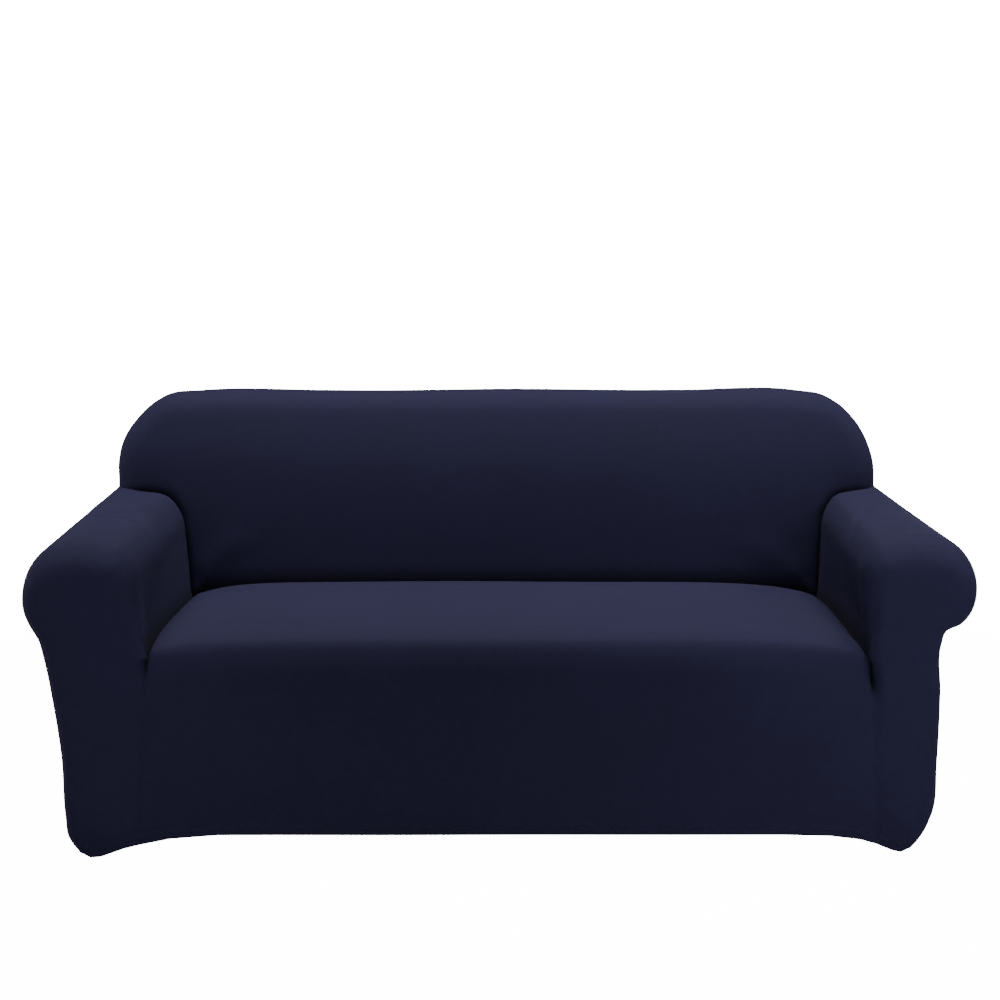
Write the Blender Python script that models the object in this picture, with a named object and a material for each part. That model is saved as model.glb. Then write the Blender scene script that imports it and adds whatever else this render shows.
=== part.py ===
"""Stretch slipcover for a two-seat sofa with rolled arms.

The cover is sewn from seven cut panels of stretch jersey. Each panel is one closed sheet
in the shape that it takes over the sofa, and the sofa itself isn't part of it. Metres and
+Z up. The front faces -Y, and right and left are as seen from the front, so right is +X.
The origin is on the floor, under the middle of the cover.
"""

import bpy
import bmesh
import numpy as np

# Cloth
CLOTH_THICKNESS = 0.002
SEAM_GAP = 0.0003  # between the edges of two panels that are sewn together

# The sofa's main planes
FRONT_Y = -0.430
REAR_Y = 0.430
REAR_EDGE_RADIUS = 0.034  # round the rear of the cover
BACK_EDGE_RADIUS = 0.055  # round the front of the backrest

# The backrest leans: its face is at this depth where it meets the seat, and slopes from there
BACK_FOOT_Y = 0.185
BACK_FOOT_Z = 0.412
BACK_SLOPE = 0.17
BACK_CROWN = 0.016  # how far its middle bulges forward

FACE_RING = 0.022  # the most that the ring of faces round an arm's front takes up

# A seam lies half-way round an edge's radius, so it is set in by this share of the radius
HALF_ROUND = 1.0 - np.cos(np.radians(45.0))

NAVY = (0.020, 0.020, 0.060, 1.0)
ROUGHNESS = 0.85

# One row for each place on an arm's outline, from the seat crease over the roll to the hem.
# At the front it is an upright section. At the rear it follows the backrest's face up and
# over the arm, runs back along the backrest's side, and goes down the rear corner.
# rear_depth says how far along the backrest's side the row has gone, from 0 to 1.
ARM_COLUMNS = ("front_x", "front_z", "radius", "rear_x", "rear_z", "rear_depth", "steps")
RIGHT_ARM = {
    "crease": (0.726, 0.402, 0.012, 0.700, 0.412, 0.00, 1),
    "inner low": (0.720, 0.460, 0.024, 0.703, 0.480, 0.00, 1),
    "inner": (0.712, 0.530, 0.040, 0.706, 0.545, 0.00, 1),
    "inner top": (0.713, 0.588, 0.054, 0.714, 0.606, 0.00, 2),
    "shoulder": (0.735, 0.624, 0.064, 0.736, 0.640, 0.00, 2),
    "top": (0.786, 0.641, 0.068, 0.784, 0.653, 0.00, 2),
    "top outer": (0.849, 0.643, 0.068, 0.822, 0.654, 0.07, 1),
    "outer": (0.900, 0.624, 0.062, 0.837, 0.653, 0.24, 2),
    "outer low": (0.930, 0.586, 0.054, 0.838, 0.650, 0.42, 2),
    "widest": (0.940, 0.540, 0.044, 0.838, 0.645, 0.58, 2),
    "under": (0.930, 0.496, 0.036, 0.838, 0.639, 0.73, 2),
    "under in": (0.906, 0.469, 0.028, 0.838, 0.631, 0.87, 1),
    "tuck": (0.879, 0.457, 0.022, 0.838, 0.617, 1.00, 1),
    "neck": (0.869, 0.430, 0.022, 0.838, 0.530, 1.00, 2),
    "wall": (0.869, 0.335, 0.024, 0.838, 0.370, 1.00, 2),
    "wall low": (0.865, 0.195, 0.022, 0.837, 0.210, 1.00, 2),
    "base": (0.856, 0.085, 0.020, 0.832, 0.090, 1.00, 1),
    "notch": (0.839, 0.051, 0.014, 0.820, 0.045, 1.00, 1),
    "hem": (0.815, 0.024, 0.008, 0.808, 0.008, 1.00, 0),
}
LEFT_ARM = {
    "crease": (0.694, 0.408, 0.012, 0.682, 0.412, 0.00, 1),
    "inner low": (0.702, 0.460, 0.024, 0.686, 0.480, 0.00, 1),
    "inner": (0.709, 0.530, 0.042, 0.692, 0.545, 0.00, 1),
    "inner top": (0.715, 0.584, 0.056, 0.703, 0.604, 0.00, 2),
    "shoulder": (0.738, 0.620, 0.066, 0.730, 0.638, 0.00, 2),
    "top": (0.786, 0.636, 0.070, 0.792, 0.651, 0.00, 2),
    "top outer": (0.842, 0.637, 0.070, 0.837, 0.653, 0.07, 1),
    "outer": (0.891, 0.619, 0.064, 0.853, 0.652, 0.24, 2),
    "outer low": (0.927, 0.580, 0.054, 0.854, 0.649, 0.42, 2),
    "widest": (0.940, 0.539, 0.044, 0.854, 0.644, 0.58, 2),
    "under": (0.939, 0.497, 0.036, 0.854, 0.638, 0.73, 2),
    "under in": (0.925, 0.465, 0.028, 0.854, 0.630, 0.87, 1),
    "tuck": (0.909, 0.438, 0.024, 0.854, 0.616, 1.00, 1),
    "neck": (0.900, 0.406, 0.022, 0.854, 0.530, 1.00, 2),
    "wall": (0.885, 0.322, 0.024, 0.854, 0.370, 1.00, 2),
    "wall low": (0.868, 0.195, 0.022, 0.850, 0.210, 1.00, 2),
    "base": (0.863, 0.085, 0.020, 0.842, 0.090, 1.00, 1),
    "notch": (0.857, 0.046, 0.014, 0.829, 0.045, 1.00, 1),
    "hem": (0.833, 0.014, 0.008, 0.815, 0.008, 1.00, 0),
}
CREASE_Y = -0.413  # how far the front end of each seat crease is tucked in
ROLL_START = "top"  # from here the rear edge turns on to the backrest's side
BAND_START = "outer"
BAND_END = "under in"
ROLL_END = "tuck"
FACE_TOP = ("shoulder", "widest")  # the arm front's upper edge runs between these

# One row for each place on the panel that runs from the front hem over the seat to the
# backrest. The middle is its section at the centre; the edges are its seams with the arms.
SEAT_COLUMNS = (
    "middle_y", "middle_z", "right_x", "right_y", "right_z", "left_x", "left_y", "left_z", "steps",
)
SEAT = {
    "hem": (-0.430, 0.050, 0.744, -0.430, 0.033, 0.716, -0.430, 0.030, 1),
    "hem top": (-0.431, 0.085, 0.743, -0.430, 0.072, 0.715, -0.430, 0.072, 2),
    "low": (-0.433, 0.170, 0.741, -0.431, 0.160, 0.711, -0.431, 0.160, 2),
    "middle": (-0.433, 0.260, 0.738, -0.431, 0.245, 0.706, -0.431, 0.250, 2),
    "high": (-0.431, 0.345, 0.736, -0.428, 0.310, 0.700, -0.429, 0.325, 1),
    "edge low": (-0.427, 0.400, 0.733, -0.418, 0.357, 0.697, -0.422, 0.377, 1),
    "edge": (-0.412, 0.436, 0.0, 0.0, 0.0, 0.0, 0.0, 0.0, 1),  # the arm's crease row
    "edge top": (-0.376, 0.453, 0.723, -0.385, 0.412, 0.697, -0.385, 0.412, 1),
    "front": (-0.320, 0.458, 0.721, -0.330, 0.414, 0.700, -0.330, 0.414, 3),
    "centre": (-0.130, 0.463, 0.718, -0.140, 0.414, 0.696, -0.140, 0.414, 3),
    "rear": (0.080, 0.461, 0.711, 0.080, 0.413, 0.686, 0.080, 0.413, 1),
    "roll": (0.150, 0.457, 0.703, 0.150, 0.412, 0.683, 0.150, 0.412, 1),
    "crease": (0.185, 0.435, 0.700, 0.185, 0.412, 0.682, 0.185, 0.412, 0),
}
ARM_MEETS = "edge"
SEAT_CROWN_POWER = 4.0  # how late the seat falls away towards the arms

# The backrest's outline seen from the front, from the arm up the side to the middle of the
# top. seat_x is where the line that ends there starts, in the seat crease.
BACK_COLUMNS = ("seat_x", "right_x", "right_z", "left_x", "left_z", "steps")
BACK = {
    "arm": (0.682, 0.838, 0.645, 0.854, 0.644, 1),
    "side": (0.655, 0.837, 0.693, 0.855, 0.702, 1),
    "side high": (0.622, 0.825, 0.741, 0.843, 0.753, 2),
    "corner": (0.580, 0.796, 0.796, 0.812, 0.802, 2),
    "corner in": (0.520, 0.744, 0.843, 0.758, 0.848, 2),
    "top end": (0.450, 0.668, 0.857, 0.672, 0.858, 2),
    "top": (0.300, 0.420, 0.858, 0.420, 0.858, 3),
    "middle": (0.000, 0.000, 0.859, 0.000, 0.859, 0),
}
BACK_SIDE_END = "corner in"

# The front hem's height across the cover. It dips round each foot and rises between them.
FRONT_HEM = {
    -0.833: 0.014, -0.812: 0.003, -0.790: 0.006, -0.746: 0.022, -0.714: 0.030, -0.654: 0.042,
    -0.560: 0.049, 0.560: 0.050, 0.654: 0.048, 0.713: 0.041, 0.745: 0.032, 0.777: 0.019,
    0.795: 0.015, 0.815: 0.024,
}
# How far the hem stands above a corner of the cover, at a distance from it along a side
HEM_RISE = {
    0.000: 0.000, 0.025: -0.007, 0.050: -0.006, 0.090: 0.004, 0.150: 0.020, 0.240: 0.032, 0.400: 0.036,
}


# ---- Lines ----------------------------------------------------------------------------


def columns(table, names, *wanted):
    """The named columns of a table, as an array with a row for each of its rows."""
    rows = np.array(list(table.values()), float)
    return rows[:, [names.index(w) for w in wanted]]


def row_of(table, name):
    return list(table).index(name)


def smooth_line(rows, steps):
    """A smooth line through the rows, cut into the given number of steps after each row."""
    chord = np.maximum(np.linalg.norm(np.diff(rows, axis=0), axis=1)[:, None], 1e-9)
    slope = np.diff(rows, axis=0) / chord
    inner = (slope[:-1] * chord[1:] + slope[1:] * chord[:-1]) / (chord[:-1] + chord[1:])
    tangent = np.vstack([slope[:1], inner, slope[-1:]])
    found = []
    for i in range(len(rows) - 1):
        for t in np.arange(int(steps[i])) / max(int(steps[i]), 1):
            found.append(
                (2 * t**3 - 3 * t**2 + 1) * rows[i]
                + (t**3 - 2 * t**2 + t) * chord[i] * tangent[i]
                + (3 * t**2 - 2 * t**3) * rows[i + 1]
                + (t**3 - t**2) * chord[i] * tangent[i + 1]
            )
    return np.array(found + [rows[-1]])


def sample_at(table, names, name):
    """Where a named row lands among the samples of a smooth line through the table."""
    steps = columns(table, names, "steps")[:, 0].astype(int)
    return int(steps[: row_of(table, name)].sum())


def turned(line):
    """The unit vector at each point of a plane line that points to the left of its run."""
    run = np.gradient(line, axis=0)
    run /= np.linalg.norm(run, axis=1)[:, None]
    return np.column_stack([-run[:, 1], run[:, 0]])


def round_off(distance, radius):
    """How far a rounded edge falls away at a distance in from the edge's line."""
    short = np.clip(radius - distance, 0.0, radius)
    return radius - np.sqrt(radius**2 - short**2)


def ease(t):
    t = np.clip(t, 0.0, 1.0)
    return t * t * (3.0 - 2.0 * t)


def nearest(line, points, values):
    """The distance from each plane point to a plane line, and the line's value there."""
    start, run = line[:-1], np.diff(line, axis=0)
    share = ((points[:, None] - start) * run).sum(2) / np.maximum((run**2).sum(1), 1e-12)
    share = np.clip(share, 0.0, 1.0)
    gap = np.linalg.norm(points[:, None] - start - share[:, :, None] * run, axis=2)
    best = gap.argmin(1)
    row = np.arange(len(points))
    step = share[row, best]
    return gap[row, best], values[best] + step * (values[best + 1] - values[best])


def hem_rise(distance):
    """How far the side and rear hems rise at a distance from a corner."""
    return np.interp(distance, list(HEM_RISE), list(HEM_RISE.values()))


def front_hem(x):
    return np.interp(x, list(FRONT_HEM), list(FRONT_HEM.values()))


# ---- The shape under the cloth ----------------------------------------------------------


def back_face_y(x, z, half_width=0.84):
    """The depth of the backrest's face at a height, with its crown."""
    lean = BACK_FOOT_Y + BACK_SLOPE * (z - BACK_FOOT_Z)
    across = np.clip(1.0 - np.abs(x / half_width) ** 4, 0.0, 1.0)
    upwards = np.sin(np.pi * np.clip((z - BACK_FOOT_Z - 0.03) / 0.40, 0.0, 1.0))
    return lean - BACK_CROWN * across * upwards


def front_radii(side):
    """The radius of the rounding at each point of an arm's front outline."""
    table = RIGHT_ARM if side > 0 else LEFT_ARM
    rows = columns(table, ARM_COLUMNS, "radius", "steps")
    return smooth_line(rows[:, :1], rows[:, 1])[:, 0]


def arm_lines(side):
    """The seam round the arm's front, its full front outline, and its rear edge, all as
    points in space. side is 1 for the arm at +X and -1 for the other."""
    table = RIGHT_ARM if side > 0 else LEFT_ARM
    steps = columns(table, ARM_COLUMNS, "steps")[:, 0]
    front = smooth_line(columns(table, ARM_COLUMNS, "front_x", "front_z"), steps)
    rear = smooth_line(columns(table, ARM_COLUMNS, "rear_x", "rear_z"), steps)
    depth = smooth_line(columns(table, ARM_COLUMNS, "rear_depth", "rear_depth"), steps)[:, 0]
    radius = front_radii(side)
    seam = front - (HALF_ROUND * radius)[:, None] * turned(front)
    seam[0] = front[0]
    seam[-1, 1] = front_hem(side * seam[-1, 0])
    seam_y = FRONT_Y + HALF_ROUND * radius
    seam_y[0] = CREASE_Y
    full_y = FRONT_Y + radius

    face_y = back_face_y(rear[:, 0], rear[:, 1])
    half_width = rear[sample_at(table, ARM_COLUMNS, BAND_START), 0]
    reach = round_off(half_width - rear[:, 0], BACK_EDGE_RADIUS)
    band_start = sample_at(table, ARM_COLUMNS, BAND_START)
    rear_seam_y = REAR_Y - HALF_ROUND * REAR_EDGE_RADIUS
    rear_y = face_y + np.where(np.arange(len(rear)) <= band_start, reach, BACK_EDGE_RADIUS)
    start_y = rear_y[band_start]
    start_depth = depth[band_start]
    along = np.clip((depth - start_depth) / (1.0 - start_depth), 0.0, 1.0)
    side_y = start_y + along * (rear_seam_y - start_y)
    rear_y = np.where(np.arange(len(rear)) > band_start, side_y, rear_y)
    rear_x = rear[:, 0] - round_off(REAR_Y - rear_y, REAR_EDGE_RADIUS)

    return (
        np.column_stack([side * seam[:, 0], seam_y, seam[:, 1]]),
        np.column_stack([side * front[:, 0], full_y, front[:, 1]]),
        np.column_stack([side * rear_x, rear_y, rear[:, 1]]),
    )


def seat_lines():
    """The seat panel's middle section and its two seams with the arms."""
    steps = columns(SEAT, SEAT_COLUMNS, "steps")[:, 0]
    middle = columns(SEAT, SEAT_COLUMNS, "middle_y", "middle_z")
    lines = []
    for side, name in ((1, "right"), (-1, "left")):
        rows = columns(SEAT, SEAT_COLUMNS, f"{name}_x", f"{name}_y", f"{name}_z")
        rows[:, 0] *= side
        rows[row_of(SEAT, ARM_MEETS)] = arm_lines(side)[0][0]
        rows[-1] = arm_lines(side)[2][0]
        lines.append(smooth_line(rows, steps))
    low = sample_at(SEAT, SEAT_COLUMNS, "low")
    middle = smooth_line(middle, steps)
    rise = hem_share(middle[:, 1])
    for line in lines:
        line[:low, 2] = front_hem(line[0, 0]) + rise[:low] * (line[low, 2] - front_hem(line[0, 0]))
    return middle, lines[0], lines[1]


def hem_share(heights):
    """How far each point of the middle section is from the hem towards the row above it."""
    low = sample_at(SEAT, SEAT_COLUMNS, "low")
    return np.clip((heights - heights[0]) / (heights[low] - heights[0]), 0.0, 1.0)


def back_lines():
    """The backrest's outline from the left arm to the right arm as (x, z), and the x at
    which each of its points starts in the seat crease."""
    steps = columns(BACK, BACK_COLUMNS, "steps")[:, 0]
    halves = []
    for side, name in ((-1, "left"), (1, "right")):
        rows = columns(BACK, BACK_COLUMNS, f"{name}_x", f"{name}_z", "seat_x")
        line = smooth_line(rows, steps) * (side, 1, side)
        halves.append(line if side < 0 else line[::-1][1:])
    whole = np.vstack(halves)
    return whole[:, :2], whole[:, 2]


# ---- Panels: each gives its points and its four-sided faces --------------------------------


def grid_faces(rows, across, flip=False):
    found = []
    for i in range(rows - 1):
        for j in range(across - 1):
            face = [i * across + j, i * across + j + 1, (i + 1) * across + j + 1, (i + 1) * across + j]
            found.append(face[::-1] if flip else face)
    return found


def seat_panel():
    """Front apron and seat in one length, from the hem to the crease under the backrest."""
    middle, right, left = seat_lines()
    seat_x = back_lines()[1]
    share = seat_x / seat_x.max()
    fall = 1.0 - np.sqrt(1.0 - np.abs(share) ** SEAT_CROWN_POWER)
    low = sample_at(SEAT, SEAT_COLUMNS, "low")
    rise = hem_share(middle[:, 1])
    rows = []
    for y, z, right_edge, left_edge in zip(middle[:, 0], middle[:, 1], right, left):
        edge = np.where(share[:, None] > 0, right_edge, left_edge)
        row = np.array([0.0, y, z]) + fall[:, None] * (edge - (0.0, y, z))
        row[:, 0] = np.abs(share) * edge[:, 0]
        rows.append(row)
    bottom = front_hem(rows[0][:, 0])
    for i in range(low):  # the hem follows its own line
        rows[i][:, 2] = bottom + rise[i] * (rows[low][:, 2] - bottom)
    rows[-1][:, 1] = back_face_y(rows[-1][:, 0], rows[-1][:, 2])
    return np.vstack(rows), grid_faces(len(rows), len(share))


def arm_panel(side):
    """Inner side, roll and outer side of an arm in one piece, down to the hem."""
    seam, front, rear = arm_lines(side)
    crease = seat_lines()[1 if side > 0 else 2][sample_at(SEAT, SEAT_COLUMNS, ARM_MEETS) :]
    table = RIGHT_ARM if side > 0 else LEFT_ARM
    across = len(seam)
    fall_from = sample_at(table, ARM_COLUMNS, "inner top")
    hold = np.clip(1.0 - np.arange(across) / fall_from, 0.0, 1.0) ** 2
    hem_at = sample_at(table, ARM_COLUMNS, "wall low")
    lift = np.clip((np.arange(across) - hem_at) / (across - 1 - hem_at), 0.0, 1.0) ** 2
    rows = [seam]
    for place in crease[1:]:
        s = (place[1] - crease[1][1]) / (crease[-1][1] - crease[1][1])
        row = front + s * (rear - front)
        row += np.outer(hold, place - row[0])
        corner = np.minimum(row[:, 1] - FRONT_Y, REAR_Y - row[:, 1])
        row[:, 2] += lift * (hem_rise(corner))
        row[:, 0] += side * lift * 0.5 * (hem_rise(corner))
        inward = round_off(REAR_Y - row[:, 1], REAR_EDGE_RADIUS)
        rows.append(row - (1 - s) * np.outer(inward, (side, 0, 0)))
    rows[-1] = rear.copy()
    return np.vstack(rows), grid_faces(len(rows), across, flip=side < 0)


def inside_back_panel():
    """The backrest's face, with the top and the sides that it is stretched over."""
    outline, _ = back_lines()
    normal = -turned(outline)
    crease = seat_panel()[0][-len(outline) :]
    edges = {side: arm_lines(side)[2] for side in (1, -1)}
    stations = [sample_at(RIGHT_ARM, ARM_COLUMNS, n) for n in (ROLL_START, BAND_START, BAND_END, ROLL_END)]
    face_end, band_start, band_end, last = stations
    inner = outline - BACK_EDGE_RADIUS * -normal
    rear_seam_y = REAR_Y - HALF_ROUND * REAR_EDGE_RADIUS
    left_edge, right_edge = edges[-1], edges[1]
    across = len(outline)
    share = np.linspace(0.0, 1.0, across)
    rows = []
    for i in range(last + 1):
        if i <= face_end:
            b = i / face_end
            flat = (1 - b) * crease[:, [0, 2]] + b * inner
            row = np.column_stack([flat[:, 0], back_face_y(flat[:, 0], flat[:, 1]), flat[:, 1]])
        elif i <= band_start:
            angle = 0.5 * np.pi * (i - face_end) / (band_start - face_end)
            flat = inner - BACK_EDGE_RADIUS * np.sin(angle) * normal
            face_y = back_face_y(inner[:, 0], inner[:, 1])
            row = np.column_stack([flat[:, 0], face_y + BACK_EDGE_RADIUS * (1 - np.cos(angle)), flat[:, 1]])
        else:
            face_y = back_face_y(inner[:, 0], inner[:, 1]) + BACK_EDGE_RADIUS
            t = (right_edge[i, 1] - right_edge[band_start, 1]) / (rear_seam_y - right_edge[band_start, 1])
            y = face_y + t * (rear_seam_y - face_y)
            inset = round_off(REAR_Y - y, REAR_EDGE_RADIUS)
            flat = outline + inset[:, None] * normal
            row = np.column_stack([flat[:, 0], y, flat[:, 1]])
        reach = 0.30
        row = row + np.outer(np.clip(1 - share / reach, 0, 1) ** 2, left_edge[i] - row[0])
        row = row + np.outer(np.clip(1 - (1 - share) / reach, 0, 1) ** 2, right_edge[i] - row[-1])
        rows.append(row)
    return np.vstack(rows), grid_faces(len(rows), across)


def coons(bottom, top, left, right):
    """A grid of points whose four sides are the given lines."""
    a = np.linspace(0, 1, len(bottom))[None, :, None]
    b = np.linspace(0, 1, len(left))[:, None, None]
    low = (1 - a) * bottom[0] + a * bottom[-1]
    high = (1 - a) * top[0] + a * top[-1]
    across = (1 - b) * bottom[None] + b * top[None]
    return across + (1 - a) * left[:, None] + a * right[:, None] - (1 - b) * low - b * high


def ringed_panel(loop, sides, ring_width, depth_of, flip):
    """A panel inside a closed line: a ring of faces along the line, and a grid within.
    sides are the numbers of steps along the bottom, right, top and left."""
    plane = loop[:, [0, 2]]
    closed = np.vstack([plane[-1:], plane, plane[:1]])
    run = closed[2:] - closed[:-2]
    run /= np.linalg.norm(run, axis=1)[:, None]
    inward = np.column_stack([-run[:, 1], run[:, 0]])
    ring = plane + inward * ring_width[:, None]
    starts = np.cumsum([0, *sides])
    whole = np.vstack([ring, ring[:1]])
    bottom, right, top, left = (whole[a : b + 1] for a, b in zip(starts[:-1], starts[1:]))
    inside = coons(bottom, top[::-1], left[::-1], right)
    rows, across = inside.shape[:2]
    flat = inside.reshape(-1, 2)
    points = np.vstack([loop, np.column_stack([flat[:, 0], depth_of(flat), flat[:, 1]])])
    count = len(loop)
    faces = [[count + n for n in face] for face in grid_faces(rows, across)]
    border = [count + j for j in range(across)]
    border += [count + i * across + across - 1 for i in range(1, rows)]
    border += [count + (rows - 1) * across + j for j in range(across - 2, -1, -1)]
    border += [count + i * across for i in range(rows - 2, 0, -1)]
    for i in range(count):
        j = (i + 1) % count
        faces.append([i, j, border[j], border[i]])
    return points, [f[::-1] for f in faces] if flip else faces


def arm_front_panel(side):
    """The face of an arm, from the top of its roll to the front hem."""
    seam = arm_lines(side)[0]
    outline = arm_lines(side)[1][:, [0, 2]]
    edge = seat_lines()[1 if side > 0 else 2][: sample_at(SEAT, SEAT_COLUMNS, ARM_MEETS) + 1]
    table = RIGHT_ARM if side > 0 else LEFT_ARM
    top_start, top_end = (sample_at(table, ARM_COLUMNS, n) for n in FACE_TOP)
    across = top_end - top_start
    outer, inner = seam[-1], edge[0]
    share = np.linspace(0, 1, across + 1)[:, None]
    hem = outer + share * (inner - outer)
    hem[:, 2] = front_hem(hem[:, 0])
    hem[:, 1] = outer[1] + ease(share[:, 0] * 2) * (inner[1] - outer[1])
    up_inner = np.vstack([edge, seam[1 : top_start + 1]])
    loop = np.vstack([hem[::-1][:-1], seam[::-1][: -(top_start + 1)], up_inner[::-1][:-1]])
    sides = (across, len(seam) - 1 - top_end, across, len(up_inner) - 1)
    radii = front_radii(side)
    mirror = loop * (side, 1, 1)
    ring = (1 - HALF_ROUND) * nearest(outline * (side, 1), mirror[:, [0, 2]], radii)[1]
    ring = np.minimum(ring, FACE_RING)

    def depth_of(flat):
        distance, radius = nearest(outline * (side, 1), flat, radii)
        return FRONT_Y - 0.004 * ease(distance / 0.09) + round_off(distance, radius)

    points, faces = ringed_panel(mirror, sides, ring, depth_of, flip=side < 0)
    return points * (side, 1, 1), faces


def outside_back_panel():
    """The plain rear panel, from the top edge to the rear hem."""
    inside, _ = inside_back_panel()
    outline, _ = back_lines()
    across = len(outline)
    top_seam = inside[-across:]
    right, left = arm_lines(1)[2], arm_lines(-1)[2]
    down_right = right[sample_at(RIGHT_ARM, ARM_COLUMNS, ROLL_END) :]
    down_left = left[sample_at(LEFT_ARM, ARM_COLUMNS, ROLL_END) :]
    side_rows = sample_at(BACK, BACK_COLUMNS, BACK_SIDE_END)
    top = across - 1 - 2 * side_rows
    share = np.linspace(0, 1, top + 1)[:, None]
    hem = down_left[-1] + share * (down_right[-1] - down_left[-1])
    corner = np.minimum(hem[:, 0] - hem[0, 0], hem[-1, 0] - hem[:, 0])
    hem[:, 2] += hem_rise(corner)
    hem[:, 1] += (REAR_Y - hem[:, 1]) * ease(corner / 0.05)
    loop = np.vstack([hem[:-1], down_right[::-1][:-1], top_seam[::-1][:-1], down_left[:-1]])
    rise = len(down_right) - 1 + side_rows
    sides = (top, rise, top, rise)
    ring = np.full(len(loop), (1 - HALF_ROUND) * REAR_EDGE_RADIUS)
    walls = np.vstack([down_left[::-1][:, [0, 2]], outline, down_right[:, [0, 2]]])

    def depth_of(flat):
        return REAR_Y + 0.004 * ease(nearest(walls, flat, np.zeros(len(walls)))[0] / 0.3)

    return ringed_panel(loop, sides, ring, depth_of, flip=True)


# ---- Sewing and thickness ------------------------------------------------------------------


def sewn_normals(panels):
    """The outward direction at each point of each panel, taken over the whole sewn cover."""
    points = np.vstack([p for p, _ in panels])
    _, index = np.unique(np.round(points, 5), axis=0, return_inverse=True)
    index = index.reshape(-1)
    total = np.zeros((index.max() + 1, 3))
    start = 0
    for p, faces in panels:
        for face in faces:
            a, b, c, d = p[face]
            turn = np.cross(c - a, d - b)
            for n in face:
                total[index[start + n]] += turn
        start += len(p)
    total /= np.maximum(np.linalg.norm(total, axis=1), 1e-12)[:, None]
    split = np.cumsum([len(p) for p, _ in panels])[:-1]
    return np.split(total[index], split)


def cut_triangles(points, faces):
    """Each four-sided face cut along its shorter diagonal."""
    found = []
    for a, b, c, d in faces:
        if np.linalg.norm(points[a] - points[c]) <= np.linalg.norm(points[b] - points[d]):
            found += [(a, b, c), (a, c, d)]
        else:
            found += [(a, b, d), (b, c, d)]
    return found


def border_edges(faces):
    """The directed edges that only one face has."""
    edges = [(f[i], f[(i + 1) % len(f)]) for f in faces for i in range(len(f))]
    known = set(edges)
    return [e for e in edges if (e[1], e[0]) not in known]


def sheet_object(name, points, faces, normals, material):
    """A panel as one closed sheet. Its sewn edges are drawn back by half the seam's gap."""
    border = border_edges(faces)
    inward = np.zeros_like(points)
    for a, b in border:
        side = np.cross(normals[a] + normals[b], points[b] - points[a])
        side /= max(np.linalg.norm(side), 1e-12)
        inward[a] += side
        inward[b] += side
    length = np.linalg.norm(inward, axis=1)
    edge = length > 0
    outer = points.copy()
    outer[edge] += inward[edge] / length[edge, None] * SEAM_GAP / 2
    inner = outer - CLOTH_THICKNESS * normals

    mesh = bmesh.new()
    top = [mesh.verts.new(p) for p in outer]
    under = [mesh.verts.new(p) for p in inner]
    for a, b, c in cut_triangles(points, faces):
        mesh.faces.new((top[a], top[b], top[c]))
        mesh.faces.new((under[c], under[b], under[a]))
    for a, b in border:  # both panels at a seam cut its wall along the same diagonal
        if tuple(np.round(points[a], 5)) < tuple(np.round(points[b], 5)):
            mesh.faces.new((top[b], top[a], under[b]))
            mesh.faces.new((top[a], under[a], under[b]))
        else:
            mesh.faces.new((top[b], top[a], under[a]))
            mesh.faces.new((top[b], under[a], under[b]))
    bmesh.ops.recalc_face_normals(mesh, faces=mesh.faces)
    data = bpy.data.meshes.new(name)
    mesh.to_mesh(data)
    mesh.free()
    data.shade_smooth()
    data.set_sharp_from_angle(angle=np.radians(50.0))
    data.materials.append(material)
    found = bpy.data.objects.new(name, data)
    bpy.context.scene.collection.objects.link(found)
    return found


def jersey():
    """Navy stretch jersey."""
    material = bpy.data.materials.new("navy_jersey")
    material.use_nodes = True
    shader = material.node_tree.nodes["Principled BSDF"]
    shader.inputs["Base Color"].default_value = NAVY
    shader.inputs["Roughness"].default_value = ROUGHNESS
    shader.inputs["Metallic"].default_value = 0.0
    return material


def main():
    for old in list(bpy.data.objects):
        bpy.data.objects.remove(old)
    panels = {
        "seat_and_apron": seat_panel(),
        "inside_back": inside_back_panel(),
        "outside_back": outside_back_panel(),
        "arm_right": arm_panel(1),
        "arm_left": arm_panel(-1),
        "arm_front_right": arm_front_panel(1),
        "arm_front_left": arm_front_panel(-1),
    }
    material = jersey()
    normals = sewn_normals(list(panels.values()))
    for (name, (points, faces)), normal in zip(panels.items(), normals):
        sheet_object(name, points, faces, normal, material)


main()
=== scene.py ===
import bmesh
import bpy
import numpy as np
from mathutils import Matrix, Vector
from mathutils.bvhtree import BVHTree
from mathutils.geometry import delaunay_2d_cdt
from mathutils.kdtree import KDTree


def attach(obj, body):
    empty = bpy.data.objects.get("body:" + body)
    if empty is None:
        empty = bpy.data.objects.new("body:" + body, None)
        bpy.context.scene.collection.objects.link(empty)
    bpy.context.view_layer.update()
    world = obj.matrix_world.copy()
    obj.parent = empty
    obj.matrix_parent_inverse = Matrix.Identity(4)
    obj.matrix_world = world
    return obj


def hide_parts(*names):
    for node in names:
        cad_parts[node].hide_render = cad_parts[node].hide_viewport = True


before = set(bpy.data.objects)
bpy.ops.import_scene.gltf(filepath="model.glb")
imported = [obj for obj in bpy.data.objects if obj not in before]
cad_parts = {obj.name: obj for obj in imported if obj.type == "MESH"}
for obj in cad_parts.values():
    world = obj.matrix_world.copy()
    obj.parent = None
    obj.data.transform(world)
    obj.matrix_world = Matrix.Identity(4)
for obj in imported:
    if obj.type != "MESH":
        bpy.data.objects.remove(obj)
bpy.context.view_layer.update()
print("loaded the cover's solids")

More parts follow.
